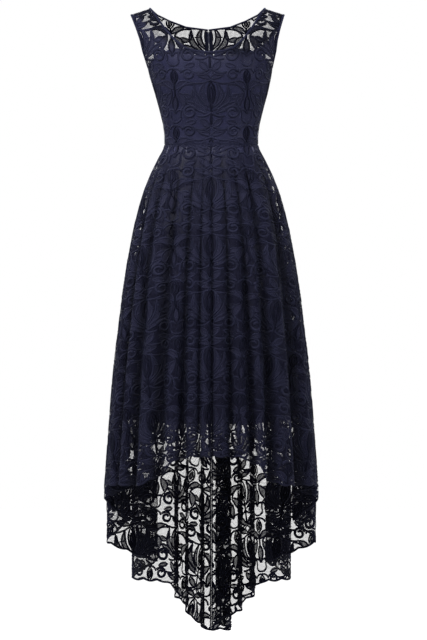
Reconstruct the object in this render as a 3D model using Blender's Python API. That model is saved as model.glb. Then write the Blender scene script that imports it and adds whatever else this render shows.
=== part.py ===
"""Sleeveless lace dress with a satin lining and a high-low hem, hollow as it is worn.

Metres, +Z up. The front faces -Y and the wearer's right side is at -X. The origin lies
between the two straps at shoulder height, where the dress is held up. Lengths below are
in millimetres, and DROP is how far a point lies below the origin.
"""

import math

import bpy
import bmesh
import numpy as np
from mathutils import Matrix

MM = 0.001

# Cloth
LACE_WALL = 1.2
LINING_APART = 1.0  # between the lace and the skirt's lining at the waist
SATIN_WALL = 1.0
BINDING_WALL = 1.0
SEAM_GAP = 0.3
SEAM_HALF = SEAM_GAP / 2
ROUNDNESS = 2.2  # exponent of the body's rounded sections

# Heights
UNDERARM_DROP = 131.0
WAIST_DROP = 307.5
SHOULDER_INNER_DROP = -6.7
SHOULDER_OUTER_DROP = 8.0
STRAP_INNER = 0.73  # share of the half width where a strap's inner edge meets the shoulder

# The body at each height: half width of the cloth, and its depth before and behind the
# side seams. Above the underarm the depths close over the shoulder as a dome.
BODY_COLUMNS = ("drop", "half_width", "front", "back")
BODY = (
    (-7.0, 178.0, 118.0, 98.0),
    (8.0, 177.0, 118.0, 98.0),
    (39.0, 167.0, 118.0, 98.0),
    (67.0, 159.0, 118.0, 98.0),
    (94.0, 154.0, 118.0, 98.0),
    (131.0, 143.8, 119.0, 98.0),
    (150.0, 140.3, 120.0, 97.0),
    (186.0, 131.0, 111.0, 93.0),
    (223.0, 120.8, 98.0, 88.0),
    (260.0, 111.6, 90.0, 85.0),
    (285.0, 108.0, 88.0, 84.0),
    (307.5, 108.0, 88.0, 84.0),
    (320.0, 111.6, 91.0, 87.0),
    (338.0, 121.9, 98.0, 97.0),
    (375.0, 140.3, 112.0, 117.0),
    (412.0, 155.3, 124.0, 131.0),
    (449.0, 166.8, 134.0, 142.0),
    (504.0, 180.6, 146.0, 156.0),
    (577.0, 194.4, 158.0, 172.0),
    (651.0, 205.9, 168.0, 187.0),
    (724.0, 214.5, 176.0, 200.0),
    (798.0, 224.0, 184.0, 213.0),
    (872.0, 231.0, 190.0, 224.0),
    (945.0, 236.5, 195.0, 234.0),
    (1019.0, 242.0, 200.0, 244.0),
    (1092.0, 247.3, 205.0, 253.0),
    (1224.0, 247.3, 208.0, 266.0),
    (1431.0, 247.3, 208.0, 282.0),
)
SHOULDER_LEAN = -9.0  # the shoulders stand this far off the waist's middle
LEAN_END_DROP = 190.0
ARMHOLE_CUT = 0.14  # share of the half width that the armhole takes at the shoulder

# Edges of the bodice, from the middle (0) to the side (1)
EDGE_COLUMNS = ("across", "drop")
FRONT_NECK = (
    (0.00, 94.3),
    (0.20, 91.0),
    (0.36, 83.0),
    (0.49, 64.0),
    (0.59, 39.0),
    (0.68, 5.5),
    (0.73, -6.7),
    (1.00, 8.0),
)
BACK_NECK = (
    (0.00, 41.0),
    (0.30, 34.5),
    (0.50, 21.0),
    (0.65, 7.0),
    (0.73, -6.7),
    (1.00, 8.0),
)
FRONT_LINING_TOP = (
    (0.00, 106.0),
    (0.20, 103.0),
    (0.36, 96.0),
    (0.47, 86.0),
    (0.60, 90.0),
    (0.80, 102.0),
    (1.00, 131.0),
)
BACK_LINING_TOP = (
    (0.00, 104.0),
    (0.50, 108.0),
    (1.00, 131.0),
)
BODICE_STEPS = 12  # columns from the middle to the side
BODICE_ROWS = 6  # rows from the waist to the lining's top edge
YOKE_ROWS = 6
YOKE_CROWDING = 1.5  # above 1, the rows stand closer together near the underarm
NECK_COLUMNS = 7  # the last of these columns meets the strap's inner edge
SMALL_SHARE = 0.004  # steps along the surface that give its slope
SMALL_DROP = 1.0
NECK_LEAST_SLANT = 0.35  # limits how far the binding reaches down a steep neck edge
BINDING_WIDTH = 5.0
BINDING_LIFT = 0.4

# Skirt folds, a row for each, from the back's middle round by the wearer's right side and
# the front to the back's middle again. A fold runs along the outline from its start angle
# to its end angle, then turns in to a valley. Angles are in degrees, 0 at centre front
# and +90 at the wearer's left. The hem's drop is given at the fold's start and end.
FOLD_COLUMNS = ("start", "end", "valley", "inset", "hem_start", "hem_end")
FOLDS = (
    (-180.0, -173.4, -175.4, 26.0, 1431.0, 1425.0),
    (-171.0, -165.2, -165.8, 26.0, 1408.0, 1384.0),
    (-162.6, -159.2, -159.6, 28.0, 1358.0, 1353.0),
    (-156.6, -133.0, -121.0, 100.0, 1320.0, 1311.0),
    (-108.0, -103.0, -98.0, 55.0, 1228.0, 1222.0),
    (-93.5, -90.0, -85.0, 36.0, 1126.0, 1122.0),
    (-80.0, -66.0, -62.0, 20.0, 1092.0, 1092.0),
    (-58.0, -54.0, -48.6, 24.0, 1092.0, 1092.0),
    (-42.0, -38.0, -30.0, 24.0, 1092.0, 1088.0),
    (-24.0, -21.0, -16.4, 20.0, 1052.0, 1034.0),
    (-12.5, -11.0, -6.8, 13.0, 1027.0, 1026.0),
    (-4.0, -2.5, 0.4, 11.0, 1026.0, 1026.0),
    (4.5, 7.0, 11.1, 18.0, 1026.0, 1026.0),
    (15.5, 18.5, 23.0, 22.0, 1027.0, 1030.0),
    (27.5, 30.0, 34.0, 22.0, 1048.0, 1070.0),
    (40.0, 49.0, 56.0, 28.0, 1092.0, 1092.0),
    (66.0, 80.0, 85.0, 36.0, 1092.0, 1092.0),
    (90.0, 93.5, 98.0, 55.0, 1122.0, 1126.0),
    (103.0, 108.0, 121.0, 100.0, 1222.0, 1228.0),
    (133.0, 153.2, 156.2, 28.0, 1311.0, 1320.0),
    (155.6, 159.8, 164.0, 27.0, 1350.0, 1356.0),
    (162.4, 165.0, 177.0, 44.0, 1384.0, 1388.0),
    (168.4, 180.0, 184.0, 24.0, 1430.0, 1431.0),
)
FOLD_FULL_DROP = 1092.0  # the folds reach their whole depth here
FOLD_GROWTH_POWER = 0.8  # below 1, the folds open out early below the waist,
FOLD_LATE_INSET = 150.0  # but a deep one opens later than a shallow one
VALLEY_HALF = 1.2  # half the width of a valley's floor, in degrees
HEM_MM_PER_DEGREE = 4.3
PATH_STEP = 2.0
FOLD_SOFTNESS = 5.0  # how widely the cloth rounds each turn
COLUMN_TURN = 58.0  # the solid has a column for each of these turns, in degrees,
COLUMN_SPACING = 62.0  # and for each of these lengths
HIP_DROPS = (345.0, 390.0, 440.0, 510.0)  # level rows below the waist, where the body rounds
SKIRT_ROWS = 7  # rows from the last of those levels to the hem

# Lining of the skirt
LINING_STEPS = 11  # columns from a side seam to the front or back middle
LINING_ROWS = 4  # rows from the last level row to the hem
LINING_HEM_FRONT = 950.0
LINING_HEM_BACK = 905.0
LINING_CLEARANCE = 7.0
LINING_FREE_GROWTH = 6.0  # how much sooner than the folds that clearance is reached
LINING_REACH = 8.0  # degrees over which the lining keeps clear of a lace valley

# Gaps in the lace
GAP_WIDTH_SHARE = 0.46
GAP_HEIGHT_SHARE = 0.5
GAP_LEAST_CELL = 13.0  # a cell narrower than this holds no gap,
GAP_WIDE_CELL = 17.0  # and every cell wider than this holds one
YOKE_GAPS_FRONT = (0.5, 0.93)  # shares of the half width between which the yoke has gaps
YOKE_GAPS_BACK = (0.1, 0.93)

# Zip
SIDES = ((-1, "right"), (1, "left"))
ZIP_EDGE = 0.3  # the back's edges stand this far from the middle
ZIP_END_DROP = 440.0
TAPE_WIDTH = 9.0
TAPE_WALL = 0.6
TAPE_APART = 0.9  # between the lace and the tape behind it
LINING_SET_BACK = 10.0  # the lining's edges stand this far from the middle beside the tapes
CHAIN_WIDTH = 3.6
CHAIN_WALL = 1.4
SLIDER_DROP = 54.0
SLIDER_LIFT = 0.5
SLIDER_LENGTH = 8.0
SLIDER_WIDTH = 6.6
SLIDER_THICK = 1.8
EAR_GAP = 3.6  # between the two ears that carry the pin
EAR_WIDTH = 1.0
EAR_LENGTH = 2.4
EAR_HEIGHT = 2.7
PIN_HEIGHT = 1.75  # of the pin's middle above the slider's plate
PIN_DIAMETER = 1.0
EYE_INSIDE = 1.6
EYE_OUTSIDE = 2.7
EYE_WIDTH = 3.0
TAB_START = 1.0
TAB_LENGTH = 22.0
TAB_NECK = 2.6
TAB_NECK_SHARE = 0.45  # of the length to the round end
TAB_WIDTH = 5.6
TAB_THICK = 1.1
ROUND_SIDES = 16
SHARP_ANGLE = 50.0

NAVY_LACE = (0.010, 0.011, 0.032, 1.0)
NAVY_SATIN = (0.030, 0.036, 0.105, 1.0)
NAVY_TAPE = (0.012, 0.013, 0.034, 1.0)
DARK_METAL = (0.050, 0.055, 0.085, 1.0)


def clear_scene():
    for item in list(bpy.data.objects):
        bpy.data.objects.remove(item, do_unlink=True)


def cloth_material(name, color, roughness, metallic=0.0):
    material = bpy.data.materials.new(name)
    material.use_nodes = True
    shader = material.node_tree.nodes["Principled BSDF"]
    shader.inputs["Base Color"].default_value = color
    shader.inputs["Roughness"].default_value = roughness
    shader.inputs["Metallic"].default_value = metallic
    material.diffuse_color = color
    return material


def column(table, names, name):
    at = names.index(name)
    return np.array([row[at] for row in table])


def body_value(drop, name):
    return np.interp(drop, column(BODY, BODY_COLUMNS, "drop"), column(BODY, BODY_COLUMNS, name))


def lean(drop):
    return SHOULDER_LEAN * np.clip(1 - np.asarray(drop) / LEAN_END_DROP, 0, 1)


def edge_drop(table, across):
    return np.interp(across, column(table, EDGE_COLUMNS, "across"), column(table, EDGE_COLUMNS, "drop"))


def section_point(angle, drop):
    """A point of the outline at an angle in degrees, before any fold, as (x, y, z)."""
    turn = np.radians(angle)
    side, ahead = np.sin(turn), np.cos(turn)
    reach = (np.abs(side) ** ROUNDNESS + np.abs(ahead) ** ROUNDNESS) ** (-1 / ROUNDNESS)
    depth = np.where(ahead > 0, body_value(drop, "front"), body_value(drop, "back"))
    x = body_value(drop, "half_width") * reach * side
    y = -depth * reach * ahead
    return np.stack([x, y, -np.asarray(drop, float) + 0 * x], axis=-1)


def inset_point(angle, inset, drop):
    """A point of the outline moved straight inwards, level with where it was."""
    here = section_point(angle, drop)
    along = section_point(angle + 1.0, drop) - section_point(angle - 1.0, drop)
    along /= np.linalg.norm(along, axis=-1, keepdims=True)
    inward = np.stack([-along[..., 1], along[..., 0], 0 * along[..., 0]], axis=-1)
    return here + inward * np.asarray(inset)[..., None]


def fold_turns():
    """Every turning point of the folds: angle, inset, hem drop and angle at the waist."""
    turns = []
    for i, (start, end, valley, inset, hem_start, hem_end) in enumerate(FOLDS):
        turns.append([start, 0.0, hem_start])
        turns.append([end, 0.0, hem_end])
        if i < len(FOLDS) - 1:
            between = (hem_end + FOLDS[i + 1][FOLD_COLUMNS.index("hem_start")]) / 2
            turns.append([valley - VALLEY_HALF, inset, between])
            turns.append([valley + VALLEY_HALF, inset, between])
    turns = np.array(turns)
    waist = turns[:, 0].copy()
    for at in range(2, len(turns) - 2):
        waist[at] = turns[at - 2 : at + 3, 0].mean()
    return np.column_stack([turns, np.sort(waist)])


def fold_path():
    """The folds as a smooth run of points round the skirt, PATH_STEP apart at the hem."""
    turns = fold_turns()
    turn_round = np.array([360.0, 0.0, 0.0, 360.0])
    turns = np.vstack([turns[-5:-1] - turn_round, turns, turns[1:5] + turn_round])
    flat = np.column_stack([turns[:, 0] * HEM_MM_PER_DEGREE, turns[:, 1]])
    along = np.concatenate([[0], np.cumsum(np.linalg.norm(np.diff(flat, axis=0), axis=1))])
    first, last = along[4], along[-5]
    count = int(round((last - first) / PATH_STEP))
    step = (last - first) / count
    reach = int(4 * FOLD_SOFTNESS / step)
    at = first + step * np.arange(-reach, count + reach + 1)
    rough = np.column_stack([np.interp(at, along, turns[:, k]) for k in range(4)])
    weights = np.exp(-0.5 * (np.arange(-reach, reach + 1) * step / FOLD_SOFTNESS) ** 2)
    weights /= weights.sum()
    return np.column_stack([np.convolve(rough[:, k], weights, mode="valid") for k in range(4)])


def fold_columns(path):
    """The points of the path that the solid's columns stand on, closer where it turns."""
    flat = np.column_stack([path[:, 0] * HEM_MM_PER_DEGREE, path[:, 1]])
    step = np.diff(flat, axis=0)
    heading = np.unwrap(np.arctan2(step[:, 1], step[:, 0]))
    length = np.linalg.norm(step, axis=1)
    turned = np.abs(np.diff(heading, prepend=heading[0]))
    cost = np.cumsum(turned / math.radians(COLUMN_TURN) + length / COLUMN_SPACING)
    count = int(math.ceil(cost[-1]))
    wanted = cost[-1] * np.arange(1, count) / count
    picks = np.searchsorted(cost, wanted)
    return path[np.concatenate([[0], picks, [len(path) - 1]])]


def fold_growth(drop):
    return np.clip((np.asarray(drop) - WAIST_DROP) / (FOLD_FULL_DROP - WAIST_DROP), 0, 1)


def folded_angle(path, drop):
    share = fold_growth(drop) ** FOLD_GROWTH_POWER
    return path[:, 3] * (1 - share) + path[:, 0] * share


def folded_inset(path, drop):
    power = FOLD_GROWTH_POWER + path[:, 1] / FOLD_LATE_INSET
    return path[:, 1] * fold_growth(drop) ** power


def row_drops(hems, rows):
    """Heights of the skirt's rows: the level ones at the hip, then even ones to the hem."""
    top = WAIST_DROP + SEAM_HALF
    level = [np.full_like(hems, drop) for drop in (top,) + HIP_DROPS]
    last = HIP_DROPS[-1]
    return np.array(level + [last + (hems - last) * row / rows for row in range(1, rows + 1)])


def skirt_grid(path):
    """Outer points of the lace skirt, a row for each level from the waist to the hem."""
    lines = []
    for drop in row_drops(path[:, 2], SKIRT_ROWS):
        lines.append(inset_point(folded_angle(path, drop), folded_inset(path, drop), drop))
    return np.array(lines)


def lining_hem(angle):
    share = (1 - np.cos(np.radians(angle))) / 2
    return LINING_HEM_FRONT + (LINING_HEM_BACK - LINING_HEM_FRONT) * share


def lining_grid(angles):
    """Outer points of the skirt's lining, just inside the deepest lace fold near them."""
    path = fold_path()
    lines = []
    for drops in row_drops(lining_hem(angles), LINING_ROWS):
        insets = []
        for angle, drop in zip(angles, drops):
            apart = np.abs((folded_angle(path, drop) - angle + 180) % 360 - 180)
            deepest = folded_inset(path, drop)[apart < LINING_REACH].max()
            grown = min(1.0, LINING_FREE_GROWTH * float(fold_growth(drop)))
            insets.append(LACE_WALL + LINING_APART + deepest + LINING_CLEARANCE * grown)
        lines.append(inset_point(angles, np.array(insets), drops))
    return np.array(lines)


def normals_of(grid, closed=False):
    """Outward directions of a grid of points whose rows run round the body."""
    if closed:
        around = np.concatenate([grid[:, -2:-1], grid, grid[:, 1:2]], axis=1)
        across = np.gradient(around, axis=1)[:, 1:-1]
    else:
        across = np.gradient(grid, axis=1)
    normal = np.cross(across, np.gradient(grid, axis=0))
    normal /= np.linalg.norm(normal, axis=2, keepdims=True)
    outward = grid * np.array([1.0, 1.0, 0.0])
    outward[..., 0] -= lean(-grid[..., 2])
    return normal if (normal * outward).sum() > 0 else -normal


def gap_corners(corners):
    """Four points of a leaf-shaped gap in a cell, matching its four corners in order."""
    middle = corners.mean(axis=0)
    shares = (GAP_HEIGHT_SHARE, GAP_WIDTH_SHARE, GAP_HEIGHT_SHARE, GAP_WIDTH_SHARE)
    edges = [(corners[k] + corners[(k + 1) % 4]) / 2 for k in range(4)]
    return [middle + (edge - middle) * share for edge, share in zip(edges, shares)]


class Wall:
    """A closed wall between an outer and an inner grid of points."""

    def __init__(self, outer, inner, flip):
        self.mesh = bmesh.new()
        self.points = {True: outer, False: inner}
        self.flip = flip
        self.verts = {}
        for is_outer, points in self.points.items():
            self.verts[is_outer] = [[self.mesh.verts.new(p * MM) for p in line] for line in points]

    def face(self, verts, reverse=False):
        self.mesh.faces.new(verts if reverse == self.flip else verts[::-1])

    def plain_cell(self, square):
        for is_outer in (True, False):
            ring = [self.verts[is_outer][i][j] for i, j in square]
            self.face(ring[:3], not is_outer)
            self.face([ring[0], ring[2], ring[3]], not is_outer)

    def cell_with_gap(self, square):
        gaps = {}
        for is_outer in (True, False):
            ring = [self.verts[is_outer][i][j] for i, j in square]
            corners = np.array([self.points[is_outer][i][j] for i, j in square])
            gap = [self.mesh.verts.new(p * MM) for p in gap_corners(corners)]
            gaps[is_outer] = gap
            for k in range(4):
                n = (k + 1) % 4
                self.face([ring[k], ring[n], gap[k]], not is_outer)
                self.face([ring[n], gap[n], gap[k]], not is_outer)
        for k in range(4):
            n = (k + 1) % 4
            self.face([gaps[True][k], gaps[True][n], gaps[False][n], gaps[False][k]])

    def close_rim(self, rows, columns):
        rim = [(0, c) for c in range(columns)]
        rim += [(r, columns - 1) for r in range(1, rows)]
        rim += [(rows - 1, c) for c in range(columns - 2, -1, -1)]
        rim += [(r, 0) for r in range(rows - 2, 0, -1)]
        for (i, j), (m, n) in zip(rim, rim[1:] + rim[:1]):
            outer, inner = self.verts[True], self.verts[False]
            self.face([outer[i][j], inner[i][j], inner[m][n], outer[m][n]])


def cloth_wall(name, grid, wall, material, lift=0.0, gaps=(), normal=None):
    """A closed wall of cloth on a grid of points, with leaf-shaped gaps cut through it."""
    normal = normals_of(grid) if normal is None else normal
    outer = grid + normal * lift
    inner = outer - normal * wall
    first = np.cross(grid[0, 1] - grid[0, 0], grid[1, 0] - grid[0, 0])
    built = Wall(outer, inner, flip=float(np.dot(first, normal[0, 0])) < 0)
    rows, columns = grid.shape[:2]
    gap_cells = set(gaps)
    for r in range(rows - 1):
        for c in range(columns - 1):
            square = ((r, c), (r, c + 1), (r + 1, c + 1), (r + 1, c))
            if (r, c) in gap_cells:
                built.cell_with_gap(square)
            else:
                built.plain_cell(square)
    built.close_rim(rows, columns)
    return finish_mesh(name, built.mesh, material)


def finish_mesh(name, mesh, material):
    data = bpy.data.meshes.new(name)
    mesh.to_mesh(data)
    mesh.free()
    data.materials.append(material)
    data.shade_smooth()
    data.set_sharp_from_angle(angle=math.radians(SHARP_ANGLE))
    item = bpy.data.objects.new(name, data)
    bpy.context.scene.collection.objects.link(item)
    return item


def walk(line, length, values=None):
    """The point, or the value that goes with it, at a length along a run of points."""
    steps = np.linalg.norm(np.diff(line, axis=0), axis=1)
    along = np.concatenate([[0], np.cumsum(steps)])
    values = line if values is None else values
    return np.array([np.interp(length, along, values[:, k]) for k in range(3)])


def bodice_across(steps):
    """Shares of the half width from the middle to the side, closer together at the side."""
    turn = np.radians(np.linspace(0, 90, steps + 1))
    return np.sin(turn) ** (2 / ROUNDNESS)


def bodice_point(across, drop, front):
    """A point of the bodice, across from -1 to 1, at a height below the origin."""
    across, drop = np.broadcast_arrays(np.asarray(across, float), np.asarray(drop, float))
    share = np.abs(across)
    strap = np.clip((share - STRAP_INNER) / (1 - STRAP_INNER), 0, 1)
    shoulder = SHOULDER_INNER_DROP + (SHOULDER_OUTER_DROP - SHOULDER_INNER_DROP) * strap
    rise = np.clip((UNDERARM_DROP - drop) / (UNDERARM_DROP - shoulder), 0, 1)
    dome = np.sqrt(1 - rise**2)
    kept = share * (1 - ARMHOLE_CUT * rise)
    depth = body_value(drop, "front" if front else "back") * dome
    y = depth * np.maximum(1 - kept**ROUNDNESS, 0) ** (1 / ROUNDNESS) + SEAM_HALF
    x = body_value(drop, "half_width") * across + lean(drop)
    return np.stack([x, -y if front else y, -drop], axis=-1)


def yoke_drops(low, high, across, rows):
    """Heights from the lining's top edge up to the lace's edge, closer near the shoulder."""
    strap = np.clip((np.abs(across) - STRAP_INNER) / (1 - STRAP_INNER), 0, 1)
    shoulder = SHOULDER_INNER_DROP + (SHOULDER_OUTER_DROP - SHOULDER_INNER_DROP) * strap
    span = UNDERARM_DROP - shoulder
    start = np.arcsin(np.clip((UNDERARM_DROP - low) / span, 0, 1))
    end = np.arcsin(np.clip((UNDERARM_DROP - high) / span, 0, 1))
    share = (np.arange(1, rows + 1)[:, None] / rows) ** YOKE_CROWDING
    turns = start + (end - start) * share
    return UNDERARM_DROP - span * np.sin(turns)


def bodice_grid(side, neck, lining_top, front):
    """Half a bodice from the middle to one side: rows from the waist up to the lace's edge.

    The last row beside the neck, and the last column beside the armhole, are as wide as
    the binding that lies on them.
    """
    half = bodice_across(BODICE_STEPS)
    top = edge_drop(neck, half)
    middle = edge_drop(lining_top, half)
    waist = WAIST_DROP - SEAM_HALF
    low = [waist + (middle - waist) * row / BODICE_ROWS for row in range(BODICE_ROWS + 1)]
    drops = np.vstack([low, yoke_drops(middle, top, half, YOKE_ROWS)])
    grid = bodice_point(side * half[None, :], drops, front)
    for row in range(BODICE_ROWS, len(grid)):
        grid[row, -2] = walk(grid[row, ::-1], BINDING_WIDTH)
    along = np.gradient(grid[-1, :NECK_COLUMNS], axis=0)
    along /= np.linalg.norm(along, axis=1, keepdims=True)
    for at in range(NECK_COLUMNS):
        line = grid[::-1, at]
        away = walk(line, BINDING_WIDTH) - line[0]
        square = np.linalg.norm(np.cross(along[at], away)) / BINDING_WIDTH
        first = BINDING_WIDTH / max(square, NECK_LEAST_SLANT)
        last = np.linalg.norm(np.diff(line[: YOKE_ROWS + 1], axis=0), axis=1).sum()
        lengths = np.linspace(first, last, YOKE_ROWS)
        grid[BODICE_ROWS : BODICE_ROWS + YOKE_ROWS, at] = [walk(line, l) for l in lengths[::-1]]
    return grid


def seam_step(edge, beside):
    """Half a seam's gap from a panel's edge towards its inside."""
    away = (beside - edge) * np.array([1.0, 1.0, 0.0])
    return away / np.linalg.norm(away, axis=1, keepdims=True) * SEAM_HALF


def bodice_normals(grid, side, front):
    """Outward directions of half a bodice, which stay in the plane of its seams."""
    drop = -grid[..., 2]
    across = np.clip((grid[..., 0] - lean(drop)) / body_value(drop, "half_width"), -1, 1)
    here = bodice_point(across, drop, front)
    inside = bodice_point(across - side * SMALL_SHARE, drop, front) - here
    step = np.where(drop < WAIST_DROP - 2 * SMALL_DROP, SMALL_DROP, -SMALL_DROP)
    below = (bodice_point(across, drop + step, front) - here) * np.sign(step)[..., None]
    normal = np.cross(inside, below) * (side if front else -side)
    normal[: BODICE_ROWS + 1, -1, 1] = 0.0
    normal[-1, NECK_COLUMNS - 1 :, 1] = 0.0
    normal[:, 0, 0] = 0.0
    return normal / np.linalg.norm(normal, axis=2, keepdims=True)


def yoke_gaps(across, least, most):
    """Every second cell of the yoke between two shares of the half width."""
    cells = []
    for row in range(BODICE_ROWS, BODICE_ROWS + YOKE_ROWS - 1):
        for at in range(len(across) - 1):
            middle = abs(across[at] + across[at + 1]) / 2
            if least < middle < most and (row + at) % 2 == 0:
                cells.append((row, at))
    return cells


def joined(right, left):
    """Two halves as one grid from the wearer's right side to the left."""
    return np.concatenate([right[:, :0:-1], left], axis=1)


def build_bodice(lace, satin, binding):
    across = bodice_across(BODICE_STEPS)
    under = -(LACE_WALL + SEAM_GAP)
    lined = slice(0, BODICE_ROWS + 1)
    halves = [bodice_grid(side, FRONT_NECK, FRONT_LINING_TOP, True) for side, word in SIDES]
    front = joined(*halves)
    normals = [bodice_normals(half, side, True) for half, (side, word) in zip(halves, SIDES)]
    normal = joined(*normals)
    gaps = yoke_gaps(np.concatenate([-across[:0:-1], across]), *YOKE_GAPS_FRONT)
    cloth_wall("bodice_front_lace", front, LACE_WALL, lace, gaps=gaps, normal=normal)
    cloth_wall("bodice_front_lining", front[lined], SATIN_WALL, satin, under, normal=normal[lined])
    neck = slice(BODICE_STEPS - NECK_COLUMNS + 1, BODICE_STEPS + NECK_COLUMNS)
    bind("neck_binding_front", front[-2:, neck], normal[-2:, neck], binding)
    for (side, word), edge in zip(SIDES, (slice(0, 2), slice(-2, None))):
        name = "armhole_binding_front_" + word
        bind(name, front[BODICE_ROWS:, edge], normal[BODICE_ROWS:, edge], binding)
    for side, word in SIDES:
        back = bodice_grid(side, BACK_NECK, BACK_LINING_TOP, False)
        normal = bodice_normals(back, side, False)
        back[:, 0, 0] += side * ZIP_EDGE
        gaps = yoke_gaps(across, *YOKE_GAPS_BACK)
        cloth_wall("bodice_back_lace_" + word, back, LACE_WALL, lace, gaps=gaps, normal=normal)
        lining = back[lined].copy()
        lining[:, 0] = [walk(row, LINING_SET_BACK) for row in lining]
        name = "bodice_back_lining_" + word
        cloth_wall(name, lining, SATIN_WALL, satin, under, normal=normal[lined])
        name = "neck_binding_back_" + word
        bind(name, back[-2:, :NECK_COLUMNS], normal[-2:, :NECK_COLUMNS], binding)
        name = "armhole_binding_back_" + word
        bind(name, back[BODICE_ROWS:, -2:], normal[BODICE_ROWS:, -2:], binding)


def bind(name, points, normal, binding):
    """A narrow band on a panel's edge, made from the panel's own points moved out."""
    cloth_wall(name, points, BINDING_WALL, binding, BINDING_LIFT + BINDING_WALL, normal=normal)


def skirt_gaps(grid, path):
    """Cells of the skirt below the lining that hold a gap: every wide one, half the others."""
    cells = []
    for row in range(grid.shape[0] - 1):
        for at in range(grid.shape[1] - 1):
            corners = grid[row : row + 2, at : at + 2]
            width = np.linalg.norm(corners[:, 1] - corners[:, 0], axis=1).min()
            drop = -corners[..., 2].max()
            below = drop > lining_hem((path[at, 0] + path[at + 1, 0]) / 2)
            least = GAP_LEAST_CELL if (row + at) % 2 == 0 else GAP_WIDE_CELL
            if below and width > least:
                cells.append((row, at))
    return cells


def build_skirt(lace):
    path = fold_columns(fold_path())
    grid = skirt_grid(path)
    normal = normals_of(grid, closed=True)
    right_side = int(np.argmin(np.abs(path[:, 3] + 90)))
    left_side = int(np.argmin(np.abs(path[:, 3] - 90)))
    spans = (
        ("skirt_back_lace_right", 0, right_side),
        ("skirt_front_lace", right_side, left_side),
        ("skirt_back_lace_left", left_side, len(path) - 1),
    )
    for name, first, last in spans:
        span = slice(first, last + 1)
        piece = grid[:, span].copy()
        piece[:, 0] += seam_step(piece[:, 0], piece[:, 1])
        piece[:, -1] += seam_step(piece[:, -1], piece[:, -2])
        gaps = skirt_gaps(piece, path[span])
        cloth_wall(name, piece, LACE_WALL, lace, gaps=gaps, normal=normal[:, span])


def build_skirt_lining(satin):
    quarter = np.linspace(0, 90, LINING_STEPS + 1)
    around = np.concatenate([quarter - 180, quarter[1:] - 90, quarter[1:], quarter[1:] + 90])
    grid = lining_grid(around)
    normal = normals_of(grid, closed=True)
    zipped = [at for at, drop in enumerate((WAIST_DROP,) + HIP_DROPS) if drop <= ZIP_END_DROP]
    for row in zipped:
        grid[row, 0] = walk(grid[row], LINING_SET_BACK)
        grid[row, -1] = walk(grid[row, ::-1], LINING_SET_BACK)
    spans = (
        ("skirt_back_lining_right", 0, LINING_STEPS),
        ("skirt_front_lining", LINING_STEPS, 3 * LINING_STEPS),
        ("skirt_back_lining_left", 3 * LINING_STEPS, 4 * LINING_STEPS),
    )
    for name, first, last in spans:
        span = slice(first, last + 1)
        piece = grid[:, span].copy()
        piece[:, 0] += seam_step(piece[:, 0], piece[:, 1])
        piece[:, -1] += seam_step(piece[:, -1], piece[:, -2])
        cloth_wall(name, piece, SATIN_WALL, satin, normal=normal[:, span])


def back_middle(drop):
    """The outer point of the back's middle at a height, and the outward direction there."""
    here, below = (bodice_point(0.0, at, False) for at in (drop, drop + SMALL_DROP))
    along = below - here
    outward = np.array([0.0, -along[2], along[1]])
    return here, outward / np.linalg.norm(outward)


def build_zip(tape, metal):
    """Two tapes and the closed chain, from the back panels' own rows at the middle."""
    path = fold_columns(fold_path())
    skirt = skirt_grid(path)
    normal = normals_of(skirt, closed=True)
    hip = slice(0, HIP_DROPS.index(ZIP_END_DROP) + 2)
    under = -(LACE_WALL + TAPE_APART)
    for side, word in SIDES:
        back = bodice_grid(side, BACK_NECK, BACK_LINING_TOP, False)
        facing = bodice_normals(back, side, False)
        order = slice(None) if side < 0 else slice(None, None, -1)
        rows = list(back[-2::-1]) + list(skirt[hip, order])
        outward = list(facing[-2::-1]) + list(normal[hip, order])
        points, directions = [], []
        for line, direction in zip(rows, outward):
            direction[0, 0] = 0.0
            line[0, 0] = lean(-line[0, 2]) + side * ZIP_EDGE
            points.append([line[0], walk(line, TAPE_WIDTH)])
            directions.append([direction[0], walk(line, TAPE_WIDTH, direction)])
        points, directions = np.array(points), np.array(directions)
        directions /= np.linalg.norm(directions, axis=2, keepdims=True)
        cloth_wall("zip_tape_" + word, points, TAPE_WALL, tape, under, normal=directions)
    chain = points.copy()
    chain[:, 1] = chain[:, 0]
    chain[:, :, 0] = lean(-chain[:, :, 2]) + np.array([-0.5, 0.5]) * CHAIN_WIDTH
    directions[:, 1] = directions[:, 0]
    under -= TAPE_WALL + SEAM_GAP
    cloth_wall("zip_chain", chain, CHAIN_WALL, metal, under, normal=directions)


def block(name, size, centre):
    """A box of a size in millimetres, about a point in millimetres."""
    bpy.ops.mesh.primitive_cube_add(size=1.0)
    item = bpy.context.active_object
    item.name = name
    for vertex in item.data.vertices:
        vertex.co = [(vertex.co[k] * size[k] + centre[k]) * MM for k in range(3)]
    return item


def prism(name, outline, low, high, axis):
    """An outline in the two other directions, drawn out between two places on an axis."""
    mesh = bmesh.new()
    others = [k for k in range(3) if k != axis]
    verts = []
    for point in outline:
        spot = [0.0, 0.0, 0.0]
        spot[axis] = low * MM
        for k, value in zip(others, point):
            spot[k] = value * MM
        verts.append(mesh.verts.new(spot))
    base = mesh.faces.new(verts)
    moved = bmesh.ops.extrude_face_region(mesh, geom=[base])["geom"]
    step = [0.0, 0.0, 0.0]
    step[axis] = (high - low) * MM
    corners = [part for part in moved if isinstance(part, bmesh.types.BMVert)]
    bmesh.ops.translate(mesh, verts=corners, vec=step)
    bmesh.ops.recalc_face_normals(mesh, faces=mesh.faces)
    data = bpy.data.meshes.new(name)
    mesh.to_mesh(data)
    mesh.free()
    item = bpy.data.objects.new(name, data)
    bpy.context.scene.collection.objects.link(item)
    return item


def circle(diameter, height=0.0):
    turns = 2 * np.pi * np.arange(ROUND_SIDES) / ROUND_SIDES
    return [(math.cos(t) * diameter / 2, math.sin(t) * diameter / 2 + height) for t in turns]


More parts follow.
